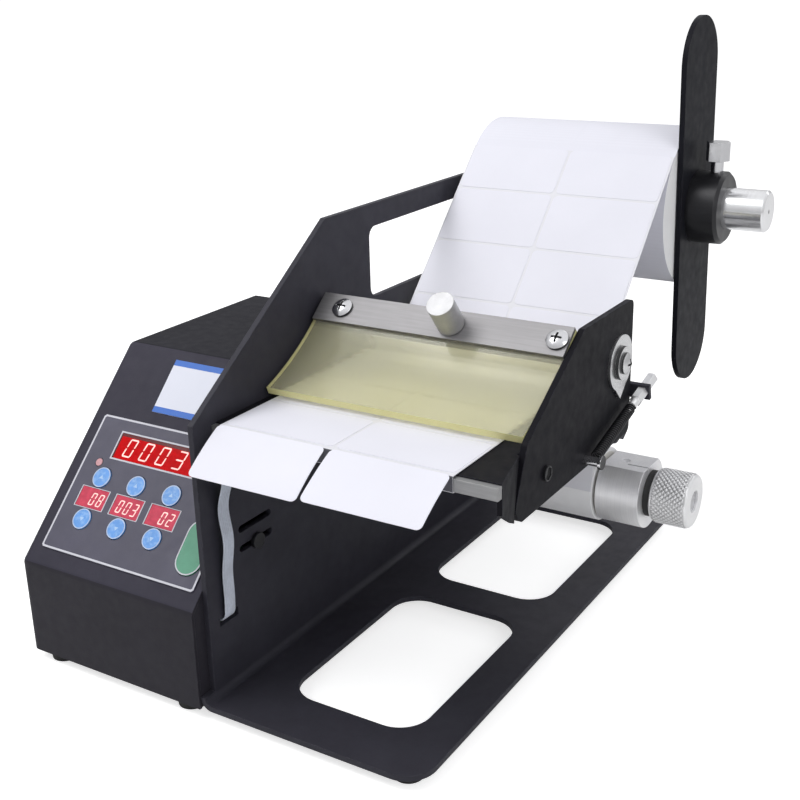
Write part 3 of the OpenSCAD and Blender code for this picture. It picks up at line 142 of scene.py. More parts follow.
class Look(Tree):
    """One material round its Principled shader."""

    def __init__(self, name):
        self.mat = bpy.data.materials.new(name)
        self.mat.use_nodes = True
        super().__init__(self.mat.node_tree)
        self.bsdf = self.tree.nodes["Principled BSDF"]

    def put(self, socket, value):
        self.feed(self.bsdf.inputs[socket], value)

    def coords(self, stretch=(1, 1, 1)):
        tex = self.add("TexCoord")
        mapping = self.add("Mapping")
        mapping.inputs["Scale"].default_value = stretch
        self.link(tex.outputs["Object"], mapping.inputs["Vector"])
        return mapping.outputs["Vector"]

    def noise(self, vector, scale, detail=4.0, rough=0.55):
        """Noise with its scale per metre."""
        node = self.add("TexNoise")
        node.inputs["Scale"].default_value = scale
        node.inputs["Detail"].default_value = detail
        node.inputs["Roughness"].default_value = rough
        self.link(vector, node.inputs["Vector"])
        return node.outputs["Fac"]

    def mix(self, fac, a, b):
        """Colour a where fac is 0 and colour b where it is 1."""
        node = self.add("Mix", data_type="RGBA")
        self.link(fac, node.inputs[0])
        self.feed(node.inputs[6], a)
        self.feed(node.inputs[7], b)
        return node.outputs[2]

    def tones(self, fac, color, low, high):
        """The colour times low to the colour times high, as the noise goes up."""
        return self.mix(self.ranged(fac, 0.0, 1.0), scaled(color, low), scaled(color, high))

    def stain(self, fac, share, color, mark):
        """A colour that turns by up to a share into a mark's colour."""
        return self.mix(self.ranged(fac, 0.0, share), color, mark)

    def weighed(self, a, share, b):
        """The sum of a with its share and b with the rest."""
        return self.math("MULTIPLY_ADD", a, share, self.math("MULTIPLY", b, 1 - share))

    def radius(self, vector, centre):
        """Distance in metres from the X axis through a centre in Y and Z."""
        parts = self.split(vector)
        middle = at(0, *centre)
        dy = self.math("SUBTRACT", parts["Y"], middle.y)
        dz = self.math("SUBTRACT", parts["Z"], middle.z)
        squares = self.math("ADD", self.math("MULTIPLY", dy, dy), self.math("MULTIPLY", dz, dz))
        return self.math("SQRT", squares)

    def facing(self, axis):
        """How far a face looks along an axis."""
        return self.split(self.add("NewGeometry").outputs["Normal"])[axis]

    def bump(self, height, strength, depth, normal=None):
        """Relief of a depth in millimetres."""
        node = self.add("Bump")
        node.inputs["Strength"].default_value = strength
        node.inputs["Distance"].default_value = depth / 1000
        self.link(height, node.inputs["Height"])
        if normal:
            self.link(normal, node.inputs["Normal"])
        return node.outputs["Normal"]

    def soft_edges(self, radius):
        """Normals with the edges rounded at a radius in millimetres."""
        node = self.add("Bevel", samples=4)
        node.inputs["Radius"].default_value = radius / 1000
        return node.outputs["Normal"]

    def edge_mask(self, bevel):
        """1 at the edges, where the rounded normal leaves the face's own."""
        geo = self.add("NewGeometry")
        dot = self.add("VectorMath", operation="DOT_PRODUCT")
        self.link(bevel, dot.inputs[0])
        self.link(geo.outputs["Normal"], dot.inputs[1])
        away = self.math("SUBTRACT", 1.0, dot.outputs["Value"])
        return self.ranged(away, 0.0, 1.0, (0.02, 0.25))


def scaled(color, k):
    return tuple(min(1.0, c * k) for c in color)


DUST = (0.42, 0.4, 0.38)


def surface(name, color, rough, metal=0.0, vary=0.12, patch=40, grain=900, depth=0.05,
            strength=0.4, edge=None, edge_r=0.5, dust=0.0, coat=0.0, spec=0.5):
    """Painted, moulded or plated surface: patchy tone, fine grain in relief, soft worn edges
    and dust on what faces up."""
    n = Look(name)
    vec = n.coords()
    fine = n.noise(vec, grain, 3.0, 0.6)
    col = n.tones(n.noise(vec, patch, 5.0, 0.6), color, 1 - vary, 1 + vary)
    col = n.stain(fine, 0.35, col, scaled(color, 1 - 1.5 * vary))
    bevel = n.soft_edges(edge_r)
    if edge:
        patches = n.ranged(n.noise(vec, 260), 0.1, 1.0, (0.42, 0.62))
        col = n.mix(n.math("MULTIPLY", n.edge_mask(bevel), patches), col, edge)
    if dust:
        up = n.ranged(n.facing("Z"), 0.0, dust, (0.6, 1.0))
        patches = n.ranged(n.noise(vec, 18, 6.0), 0.2, 1.0)
        col = n.mix(n.math("MULTIPLY", up, patches), col, DUST)
    n.put("Base Color", col)
    n.put("Roughness", n.ranged(n.noise(vec, grain * 0.15), *rough))
    n.put("Metallic", metal)
    n.put("Coat Weight", coat)
    n.put("Specular IOR Level", spec)
    n.put("Normal", n.bump(fine, strength, depth, bevel))
    return n.mat


def key_top(name, color, pale):
    """Round moulded key tops with soft pale glints painted on as highlights."""
    n = Look(name)
    vec = n.coords()
    fine = n.noise(vec, 1500, 3.0)
    tone = n.noise(vec, 210)
    # Painted highlight: pale glints spread by noise over the key tops
    glint = n.ranged(n.noise(vec, 520, 2.0), 0.0, 0.75, (0.46, 0.66))
    col = n.mix(glint, n.tones(tone, color, 0.9, 1.1), pale)
    n.put("Base Color", n.stain(fine, 0.3, col, scaled(color, 0.85)))
    n.put("Roughness", n.ranged(tone, 0.28, 0.42))
    n.put("Coat Weight", 0.15)
    n.put("Normal", n.bump(fine, 0.4, 0.015, n.soft_edges(0.5)))
    return n.mat


def wound(name, color, rough, centre, pitch, line=0.75):
    """Wound paper: on the faces that look along X, fine lines at a pitch in millimetres run
    round the X axis through a centre in Y and Z. A line is the colour times its value."""
    n = Look(name)
    vec = n.coords()
    wander = n.ranged(n.noise(vec, 30, 2.0), -pitch * 0.4, pitch * 0.4)
    size = n.math("MULTIPLY_ADD", n.radius(vec, centre), 1000.0, wander)
    turns = n.math("MULTIPLY", size, 2 * math.pi / pitch)
    fine = n.ranged(n.math("SINE", turns), 0.0, 1.0, (-1.0, 1.0))
    broad = n.ranged(n.math("SINE", n.math("MULTIPLY", turns, 0.19)), 0.5, 1.0, (-1.0, 1.0))
    ends = n.ranged(n.math("ABSOLUTE", n.facing("X")), 0.0, 1.0, (0.5, 0.9))
    mask = n.math("MULTIPLY", ends, n.math("MULTIPLY", fine, broad))
    tone = n.tones(n.noise(vec, 35), color, 0.95, 1.05)
    fibre = n.noise(vec, 1400, 3.0)
    n.put("Base Color", n.mix(mask, tone, scaled(color, line)))
    n.put("Roughness", n.ranged(n.noise(vec, 160, 3.0), *rough))
    n.put("Normal", n.bump(n.math("MULTIPLY_ADD", fibre, 0.25, mask), 0.5, 0.08,
                           n.soft_edges(0.3)))
    return n.mat


def turned(name, color, centre, rough, lines=1.1, metal=1.0, knurl=None):
    """Lathe-turned metal: fine grooves that run round the X axis, seen along it and on its
    ends. A knurl gets painted shade in its grooves, between its second and third radius."""
    n = Look(name)
    vec = n.coords()
    radius = n.radius(vec, centre)
    along = n.add("CombineXYZ")
    n.link(n.split(vec)["X"], along.inputs[0])
    n.link(radius, along.inputs[1])
    groove = n.noise(along.outputs[0], 1600 * lines, 3.0, 0.7)
    patch = n.noise(vec, 60, 5.0)
    col = n.stain(groove, 0.3, n.tones(patch, color, 0.93, 1.05), scaled(color, 0.72))
    # Painted shade: the knurl's groove bottoms go to a darker copy of the colour
    if knurl:
        size = n.math("MULTIPLY", radius, 1000.0)
        inside = n.ranged(size, 1.0, 0.0, knurl[:2])
        outside = n.ranged(size, 0.0, 1.0, knurl[2:])
        col = n.mix(n.math("MAXIMUM", inside, outside), scaled(color, 0.55), col)
    n.put("Base Color", col)
    n.put("Metallic", metal)
    n.put("Roughness", n.ranged(n.weighed(groove, 0.5, patch), *rough))
    n.put("Normal", n.bump(groove, 0.5, 0.015, n.soft_edges(0.35)))
    return n.mat


def brushed(name, color, stretch, rough):
    """Sheet metal brushed along X, its lines the longer the smaller the stretch value."""
    n = Look(name)
    line = n.noise(n.coords((stretch, 1, 1)), 900, 4.0, 0.75)
    patch = n.noise(n.coords(), 45, 5.0)
    col = n.tones(line, color, 0.82, 1.1)
    n.put("Base Color", n.stain(patch, 0.3, col, scaled(color, 0.85)))
    n.put("Metallic", 1.0)
    n.put("Roughness", n.ranged(n.weighed(line, 0.6, patch), *rough))
    n.put("Normal", n.bump(line, 0.45, 0.012, n.soft_edges(0.3)))
    return n.mat


def paper(name, color, rough=0.62, sheen=0.1):
    """Paper: fine fibres in relief over a slow change of tone."""
    n = Look(name)
    vec = n.coords()
    fibre = n.noise(vec, 1900, 4.0, 0.7)
    soft = n.noise(vec, 22)
    col = n.tones(soft, color, 0.975, 1.02)
    n.put("Base Color", n.stain(fibre, 0.25, col, scaled(color, 0.93)))
    n.put("Roughness", n.ranged(fibre, rough - 0.08, rough + 0.08))
    n.put("Specular IOR Level", 0.4)
    n.put("Sheen Weight", sheen)
    n.put("Normal", n.bump(n.math("MULTIPLY_ADD", fibre, 0.3, soft), 0.25, 0.06,
                           n.soft_edges(0.1)))
    return n.mat


def cast_sheet(name, low, high, clear, rough):
    """Cast polyurethane: cloudy, see-through, with faint draw lines along X."""
    n = Look(name)
    cloud = n.noise(n.coords(), 24, 5.0, 0.6)
    lines = n.noise(n.coords((0.2, 1, 1)), 700, 3.0)
    n.put("Base Color", n.mix(n.ranged(cloud, 0.0, 1.0), low, high))
    n.put("Transmission Weight", clear)
    n.put("IOR", 1.42)
    n.put("Roughness", n.ranged(cloud, *rough))
    n.put("Specular IOR Level", 0.45)
    n.put("Normal", n.bump(n.math("MULTIPLY_ADD", lines, 0.25, cloud), 0.12, 0.12))
    return n.mat


def glow(name, color, strength, gloss=0.2):
    """Lit face: its own light over a glossy plastic, with faint unevenness."""
    n = Look(name)
    vec = n.coords()
    spots = n.noise(vec, 420, 3.0)
    n.put("Base Color", n.tones(spots, color, 0.8, 1.0))
    n.put("Emission Color", n.tones(spots, color, 0.75, 1.1))
    n.put("Emission Strength", strength)
    n.put("Roughness", n.ranged(n.noise(vec, 90, 3.0), 0.2, 0.32))
    n.put("Specular IOR Level", gloss)
    n.put("Normal", n.bump(spots, 0.1, 0.02))
    return n.mat


# Axes of the spindles and of the lever's pivot, in Y and Z
SPINDLE = (256.0, 175.8)
REWIND = (158.7, 64.9)
PIVOT = (135.5, 132.0)

CHARCOAL = (0.0185, 0.0180, 0.0240)
FRAME_COAT = dict(rough=(0.42, 0.55), vary=0.16, grain=1300, depth=0.03)
BOX_COAT = dict(grain=1500, depth=0.07, strength=0.7, edge_r=0.4)
# Radii of the knob between which its knurl's grooves take painted shade, each edge as a short
# run
KNURL_SHADE_RADII = (12.0, 12.06, 12.12, 12.4)

LOOKS = {
    "frame": surface("coat_charcoal", scaled(CHARCOAL, 1.85), edge=(0.085, 0.084, 0.105),
                     dust=0.012, spec=0.17, **FRAME_COAT),
    # A darker copy of the frame's charcoal paint, painted shade for the side plate and channel
    # floor
    "side": surface("coat_side_painted_shade", scaled(CHARCOAL, 0.5), edge=(0.065, 0.064, 0.085),
                    spec=0.06, **FRAME_COAT),
    "box": surface("coat_box", (0.0235, 0.0218, 0.0290), (0.5, 0.62), vary=0.10,
                   edge=(0.07, 0.066, 0.082), dust=0.012, spec=0.18, **BOX_COAT),
    # Copies of the cover's paint: lighter on its sloped front for painted light, darker on its
    # top for painted shade
    "box_slope_painted_light": surface("coat_box_slope", (0.036, 0.0335, 0.050), (0.5, 0.62), vary=0.10,
                         edge=(0.07, 0.066, 0.085), spec=0.18, **BOX_COAT),
    "box_top_painted_shade": surface("coat_box_top", (0.0155, 0.0152, 0.0205), (0.55, 0.66),
                       edge=(0.05, 0.05, 0.062), spec=0.12, **BOX_COAT),
    "bar": surface("coat_bar", (0.0115, 0.0118, 0.0160), (0.4, 0.52), grain=1300, depth=0.03,
                   edge=(0.05, 0.05, 0.06), spec=0.06),
    "membrane": surface("membrane_grey", (0.071, 0.068, 0.102), (0.42, 0.55), vary=0.10,
                        patch=70, grain=1500, depth=0.02, strength=0.5, edge_r=0.15, spec=0.4),
    "ink": surface("ink_white", (0.62, 0.62, 0.68), (0.5, 0.6), vary=0.05, grain=1800,
                   depth=0.01, edge_r=0.05),
    "blue": key_top("key_blue", (0.11, 0.33, 0.78), (0.30, 0.52, 0.86)),
    "blue_rim": surface("key_rim", (0.50, 0.60, 0.80), (0.35, 0.5), vary=0.05, grain=1500,
                        depth=0.01, edge_r=0.1),
    "green": surface("key_green", (0.075, 0.30, 0.185), (0.34, 0.46), vary=0.10, patch=150,
                     grain=1600, depth=0.015, coat=0.1),
    "display": surface("display_body", (0.10, 0.008, 0.010), (0.2, 0.3), vary=0.1,
                       grain=1200, depth=0.01),
    "steel": brushed("steel_ground", (0.58, 0.58, 0.60), 0.05, (0.28, 0.45)),
    "strip": brushed("strip_brushed", (0.29, 0.284, 0.29), 0.03, (0.5, 0.62)),
    "bar_steel": brushed("peel_steel", (0.34, 0.34, 0.345), 0.04, (0.45, 0.6)),
    "spindle": turned("spindle_turned", (0.90, 0.90, 0.915), SPINDLE, (0.15, 0.26),
                      metal=0.92),
    "clamp": turned("clamp_turned", (0.96, 0.955, 0.985), REWIND, (0.34, 0.48), metal=0.7),
    "knob": turned("knob_turned", (0.97, 0.97, 0.985), REWIND, (0.26, 0.38), metal=0.6,
                   knurl=KNURL_SHADE_RADII),
    "shaft": turned("shaft_turned", (0.55, 0.55, 0.57), REWIND, (0.2, 0.34)),
    "chrome": surface("bright_plate", (0.72, 0.72, 0.74), (0.14, 0.28), metal=1.0, vary=0.08,
                      grain=700, depth=0.01, edge_r=0.35),
    "standoff": surface("standoff_plate", (0.92, 0.92, 0.93), (0.3, 0.45), metal=0.6,
                        vary=0.05, grain=700, depth=0.01, edge_r=0.35),
    "satin": surface("satin_steel", (0.50, 0.50, 0.51), (0.42, 0.56), metal=0.8, patch=160,
                     grain=1100, depth=0.02, edge=(0.75, 0.75, 0.76), edge_r=0.35),
    # Painted shade for recesses and the sides of screw heads and the washer's step
    "recess": surface("recess_painted_shade", (0.05, 0.05, 0.052), (0.35, 0.5), metal=0.6, vary=0.2,
                      depth=0.02, edge_r=0.2),
    "washer": turned("washer_plate", (0.66, 0.66, 0.67), PIVOT, (0.2, 0.34), lines=0.7),
    "black": surface("blackened", (0.016, 0.016, 0.019), (0.3, 0.42), metal=0.3, vary=0.15,
                     depth=0.02, edge=(0.10, 0.10, 0.105)),
    "rubber": surface("rubber_black", (0.018, 0.018, 0.019), (0.68, 0.82), vary=0.2,
                      grain=700, depth=0.06),
    "plastic": surface("plastic_black", (0.014, 0.014, 0.016), (0.42, 0.55), vary=0.15,
                       grain=1200, depth=0.03, edge_r=0.4),
    "nylon": surface("nylon", (0.72, 0.70, 0.62), (0.4, 0.52), vary=0.05, depth=0.02,
                     edge_r=0.4),
    "brass": surface("brass_turned", (0.70, 0.50, 0.22), (0.2, 0.34), metal=1.0, vary=0.08,
                     grain=1100, depth=0.01),
    "zinc": surface("zinc_case", (0.40, 0.40, 0.42), (0.3, 0.45), metal=0.9, vary=0.15,
                    patch=90, grain=700, depth=0.02),
    "board": surface("circuit_board", (0.02, 0.16, 0.07), (0.3, 0.42), vary=0.3, patch=260,
                     grain=600, edge_r=0.2),
    "label": paper("label_paper", (0.84, 0.84, 0.92)),
    "liner": paper("liner_paper", (0.80, 0.80, 0.85), 0.5),
    "roll": wound("roll_paper", (0.96, 0.96, 0.98), (0.55, 0.7), SPINDLE, 0.4, line=0.9),
    # Painted shadow on the liner's drop at the peel edge
    "liner_painted_shadow": paper("liner_painted_shadow", (0.085, 0.085, 0.10), 0.7, 0.0),
    "roll_skin": paper("roll_skin", (0.83, 0.83, 0.91)),
    "wound": wound("wound_paper", (0.94, 0.94, 0.955), (0.55, 0.7), REWIND, 0.3, line=0.9),
    "core": wound("core_board", (0.78, 0.765, 0.73), (0.6, 0.75), REWIND, 0.6),
    "amber": cast_sheet("sheet_amber", (0.92, 0.895, 0.63), (0.95, 0.93, 0.71), 0.80,
                        (0.12, 0.18)),
    "amber_edge": cast_sheet("sheet_edge", (0.80, 0.76, 0.36), (0.86, 0.82, 0.42), 0.10,
                             (0.26, 0.34)),
    "ribbon": surface("ribbon_grey", (0.58, 0.62, 0.71), (0.35, 0.5), vary=0.16, patch=120,
                      depth=0.02, edge_r=0.1),
    "sticker": paper("sticker_white", (0.74, 0.76, 0.86), 0.35, 0.0),
    "sticker_blue": paper("sticker_blue", (0.035, 0.155, 0.58), 0.45, 0.0),
    "key_mark": paper("key_mark", (0.42, 0.62, 0.90), 0.45, 0.0),
    "red_bright": glow("display_red", (0.50, 0.001, 0.003), 0.30, 0.04),
    # Painted shadow band inside the total window
    "red_dark": glow("display_painted_shadow", (0.11, 0.002, 0.004), 0.05),
    "red_soft": glow("display_rose", (0.52, 0.06, 0.10), 0.30, 0.1),
    "digit": glow("digit_lit", (1.0, 0.66, 0.62), 0.45),
    "lamp": glow("lamp_lit", (0.62, 0.34, 0.37), 0.12),
}

CAD_LOOKS = {
    "frame": ["base_frame", "press_bracket", "lever_arm", "motor_bracket"],
    # side_plate and channel_floor take the darker copy of the frame paint, as painted shade
    "side": ["side_plate", "channel_floor"],
    "box": ["box_cover", "box_bottom", "rear_panel"],
    "bar": ["retaining_bar"],
    "membrane": ["panel_overlay"],
    "sticker": ["blank_plate"],
    "display": ["led_displays"],
    "board": ["panel_board", "control_board"],
    "blue": ["speed_up_key", "speed_down_key", "length_up_key", "length_down_key",
             "delay_up_key", "delay_down_key"],
    "green": ["confirm_key"],
    "zinc": ["gear_motor"],
    "brass": ["motor_pinion"],
    "nylon": ["drive_gear", "rewind_pulley", "guide_roller"],
    "steel": ["drive_shaft", "shaft_bearings", "cross_shafts"],
    "spindle": ["supply_spindle"],
    "shaft": ["rewind_spindle"],
    "strip": ["clamp_strip"],
    "bar_steel": ["peel_bar"],
    "chrome": ["bright_screws", "clamp_bolt"],
    "standoff": ["adjusting_stud"],
    "satin": ["thumb_screw"],
    "washer": ["pivot_washer"],
    "clamp": ["rewind_clamp"],
    "rubber": ["drive_rubber", "rewind_belt", "pinch_roller", "rubber_feet", "friction_ring"],
    "black": ["bar_collar", "frame_screws"],
    "core": ["rewind_core"],
    "plastic": ["core_bushes", "label_sensor", "power_inlet", "power_switch"],
    "roll": ["label_roll"],
    "wound": ["wound_liner"],
    "amber": ["press_sheet"],
}


def corners(obj):
    return [obj.matrix_world @ v.co for v in obj.data.vertices]


def on_faces(obj, look, chosen):
    """Gives one more look to the faces that chosen(place, normal, area) picks."""
    slots = obj.data.materials
    slots.append(LOOKS[look])
    turn = obj.matrix_world.to_3x3()
    for poly in obj.data.polygons:
        normal = (turn @ poly.normal).normalized()
        if chosen(obj.matrix_world @ poly.center, normal, poly.area):
            poly.material_index = len(slots) - 1


# Height and area, in metres, under which a front face of the yellow sheet is its lip
LIP_HEIGHT, LIP_AREA = 0.0035, 0.0005


def dress_cad():
    """Looks of the CAD nodes, and of the faces of some that differ from the rest."""
    for look, names in CAD_LOOKS.items():
        for name in names:
            slots = NODES[name].data.materials
            if not slots:
                slots.append(LOOKS[look])
            for i in range(len(slots)):
                slots[i] = LOOKS[look]
    sheet, cover = NODES["press_sheet"], NODES["box_cover"]
    lip = min(p.z for p in corners(sheet)) + LIP_HEIGHT

    def sheet_edge(place, normal, area):
        return abs(normal.x) > 0.9 or (normal.y < -0.5 and place.z < lip and area < LIP_AREA)

    on_faces(sheet, "amber_edge", sheet_edge)
    on_faces(NODES["label_roll"], "roll_skin", lambda place, normal, area: abs(normal.x) < 0.5)
    # Painted light and shade: the cover's top faces take the darker copy of its paint, its
    # sloped front faces the lighter one
    on_faces(cover, "box_top_painted_shade", lambda place, normal, area: normal.z > 0.95)
    on_faces(cover, "box_slope_painted_light",
             lambda place, normal, area: 0.55 < normal.z <= 0.95 and normal.y < -0.3)


# Metres: height of a screw's head, radius and depth of its cross recess, washer's height
SCREW_HEAD, CROSS_R, CROSS_DEPTH, WASHER_H = 0.0026, 0.0026, 0.0009, 0.0045


def dress_screws():
    """Painted shade in the cross recesses and on the sides of the strip's screws, and on the
    step sides and sunk middle of the pivot washer.
    """
    strip = NODES["clamp_strip"]
    turn = strip.matrix_world.to_3x3()
    widest = max(strip.data.polygons, key=lambda poly: poly.area * ((turn @ poly.normal).z > 0))
    axis = (turn @ widest.normal).normalized()
    places = corners(NODES["bright_screws"])
    middle = sum(p.x for p in places) / len(places)
    heads = []
    for side in (-1, 1):
        group = [p for p in places if (p.x - middle) * side > 0]
        top = max(p.dot(axis) for p in group)
        head = [p for p in group if p.dot(axis) > top - SCREW_HEAD]
        heads.append((sum(head, Vector()) / len(head), top))

    def cross(place, normal, area):
        up = abs(normal.dot(axis))
        for centre, top in heads:
            offset = place - centre
            offset -= axis * offset.dot(axis)
            sunk = place.dot(axis) < top - CROSS_DEPTH
            if offset.length < CROSS_R and (up < 0.5 or sunk):
                return True
        return up < 0.3

    pivot = at(0, *PIVOT)
    face = max(p.x for p in corners(NODES["pivot_washer"]))

    def step(place, normal, area):
        near = math.hypot(place.y - pivot.y, place.z - pivot.z) < CROSS_R
        sunk = place.x < face - CROSS_DEPTH and normal.x > 0
        return (abs(normal.x) < 0.5 and place.x > face - WASHER_H) or (near and sunk)

    # Painted shade on the screws' recesses and sides and on the washer's step
    on_faces(NODES["bright_screws"], "recess", cross)
    on_faces(NODES["pivot_washer"], "recess", step)


dress_cad()
dress_screws()


# ---------------------------------------------------------------- mesh helpers
def piece(name, points, faces, look, body, slot=None, stands_for=(), smooth=None):
    """A mesh from points in millimetres of the working frame."""
    mesh = bpy.data.meshes.new(name)
    mesh.from_pydata([at(*p) for p in points], [], faces)
    mesh.update()
    bm = bmesh.new()
    bm.from_mesh(mesh)
    bmesh.ops.remove_doubles(bm, verts=bm.verts, dist=1e-7)
    bmesh.ops.recalc_face_normals(bm, faces=bm.faces)
    bm.to_mesh(mesh)
    bm.free()
    obj = bpy.data.objects.new(name, mesh)
    bpy.context.scene.collection.objects.link(obj)
    mesh.materials.append(LOOKS[look])
    if smooth is not None:
        for poly in mesh.polygons:
            poly.use_smooth = True
        mesh.set_sharp_from_angle(angle=math.radians(smooth))
    if body:
        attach(obj, body)
    if stands_for:
        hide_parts(*stands_for)
    return obj


def merge(parts):
    """Joins several (points, faces) into one."""
    points, faces = [], []
    for p, f in parts:
        k = len(points)
        points += list(p)
        faces += [[i + k for i in face] for face in f]
    return points, faces


def tube_faces(rows, around):
    """Faces between rows of points that each run once round."""
    faces = []
    for i in range(rows - 1):
        for j in range(around):
            k = (j + 1) % around
            faces.append([i * around + j, i * around + k,
                          (i + 1) * around + k, (i + 1) * around + j])
    return faces


def end_faces(rows, around):
    """The two end faces of such a tube."""
    return [list(range(around)), [(rows - 1) * around + j for j in range(around)][::-1]]


def plate(outline, lift):
    """A prism over a closed outline; lift(p, h) gives the place of p at its foot or top."""
    n = len(outline)
    points = [lift(p, 0) for p in outline] + [lift(p, 1) for p in outline]
    faces = [list(range(n))[::-1], [n + i for i in range(n)]]
    faces += [[i, (i + 1) % n, n + (i + 1) % n, n + i] for i in range(n)]
    return points, faces


def frame_plate(outer, inner, lift):
    """A flat ring between two outlines with the same number of points."""
    n = len(outer)
    points = [lift(p, h) for h in (0, 1) for ring in (outer, inner) for p in ring]
    faces = []
    for i in range(n):
        j = (i + 1) % n
        faces.append([2 * n + i, 2 * n + j, 3 * n + j, 3 * n + i])
        faces.append([i, n + i, n + j, j])
        faces.append([i, j, 2 * n + j, 2 * n + i])
        faces.append([n + j, n + i, 3 * n + i, 3 * n + j])
    return points, faces


def rect(box, grow_x=0.0, grow_y=0.0):
    """Outline of a box (x0, y0, x1, y1) that is moved out on each side."""
    x0, y0, x1, y1 = box[0] - grow_x, box[1] - grow_y, box[2] + grow_x, box[3] + grow_y
    return [(x0, y0), (x1, y0), (x1, y1), (x0, y1)]


def arc(cx, cy, r, start, end, n):
    """Points from one angle to another in degrees, both ends included."""
    angles = [math.radians(start + (end - start) * i / n) for i in range(n + 1)]
    return [(cx + r * math.cos(a), cy + r * math.sin(a)) for a in angles]


def disc(cx, cy, r, n=40):
    return arc(cx, cy, r, 0, 360, n)[:-1]


def stadium(cx, cy, w, h):
    """Outline of an upright slot shape with half-round ends."""
    rise = (h - w) / 2
    return arc(cx, cy + rise, w / 2, 0, 180, 12) + arc(cx, cy - rise, w / 2, 180, 360, 12)


# ---------------------------------------------------------------- control panel
# Places on the slope are x and s, the distance up from the fold over the box's front
BOX_Y0, FRONT_H, DIAG = -1.0, 45.0, math.sqrt(0.5)
PANEL = (-94.0, 8.5, -6.0, 75.0)
TOTAL = (-79.0, 55.6, -20.5, 68.1)
STICKER = (-69.0, 81.0, -21.0, 108.0)
PRESETS = {"speed": (-78.6, " 08"), "length": (-58.0, "003"), "delay": (-37.4, " 02")}
PRESET_S, PRESET_W, PRESET_H, KEY_ROW, KEY_R = 35.2, 16.0, 9.4, 10.2, 4.8
CONFIRM = (-14.3, 26.7, 13.5, 25.0)
LAMP = (-84.3, 52.0, 1.8)
BAND_W, WINDOW_INSET = 2.9, 0.1

# Foot and top of each thin layer, in height above the slope
LAYERS = dict(band=(0.4, 0.43), face=(0.41, 0.5), lens=(0.41, 0.75), lit=(0.5, 0.54),
              ink=(0.58, 0.63), rim=(1.08, 1.13), mark=(1.09, 1.12))

# Figures: first one's lower left corner from the window's, step, width, height, stroke
TOTAL_FIGURES = (5.0, 1.5, 9.7, 4.9, 9.0, 0.72)
PRESET_FIGURES = (-5.6, -3.3, 4.3, 2.7, 6.0, 0.55)
LEAN, STROKE_GAP_SHARE = 0.16, 0.35
SEGMENTS = {" ": "", "0": "abcdef", "1": "bc", "2": "abged", "3": "abgcd", "8": "abcdefg"}


def raised(layer):
    """Lifts (x, s) to the foot or top of a layer above the box's slope."""
    def lift(p, h):
        height = LAYERS[layer][h]
        return (p[0], BOX_Y0 + (p[1] - height) * DIAG, FRONT_H + (p[1] + height) * DIAG)
    return lift


def panel_outline(inset):
    """Outline of the overlay with its corners cut, moved in."""
    x0, s0, x1, s1 = PANEL[0] + inset, PANEL[1] + inset, PANEL[2] - inset, PANEL[3] - inset
    c = 1.0 - inset * 0.4
    return [(x0 + c, s0), (x1 - c, s0), (x1, s0 + c), (x1, s1 - c),
            (x1 - c, s1), (x0 + c, s1), (x0, s1 - c), (x0, s0 + c)]


def stroke(x0, y0, x1, y1, half):
    """A level or upright bar with pointed ends."""
    u, v = (half, 0) if y0 == y1 else (0, half)
    return [(x0, y0), (x0 + u + v, y0 + v - u), (x1 - u + v, y1 - v - u), (x1, y1),
            (x1 - u - v, y1 - v + u), (x0 + u - v, y0 + v + u)]


def digit(char, x, s, w, h, t):
    """Outlines of the lit strokes of one leaning figure with its lower left corner at x, s."""
    g, half = t * STROKE_GAP_SHARE, t / 2
    left, right, low, high, middle = half, w - half, half, h - half, h / 2
    bars = {
        "a": (g, high, w - g, high), "g": (g, middle, w - g, middle), "d": (g, low, w - g, low),
        "b": (right, middle + g, right, h - g), "c": (right, g, right, middle - g),
        "f": (left, middle + g, left, h - g), "e": (left, g, left, middle - g),
    }
    return [[(x + px + LEAN * py, s + py) for px, py in stroke(*bars[key], half)]
            for key in SEGMENTS[char]]


def figures(text, x, s, sizes):
    """The lit strokes of a row of figures."""
    dx, ds, step, *rest = sizes
    return [plate(outline, raised("lit")) for i, char in enumerate(text)
            for outline in digit(char, x + dx + i * step, s + ds, *rest)]


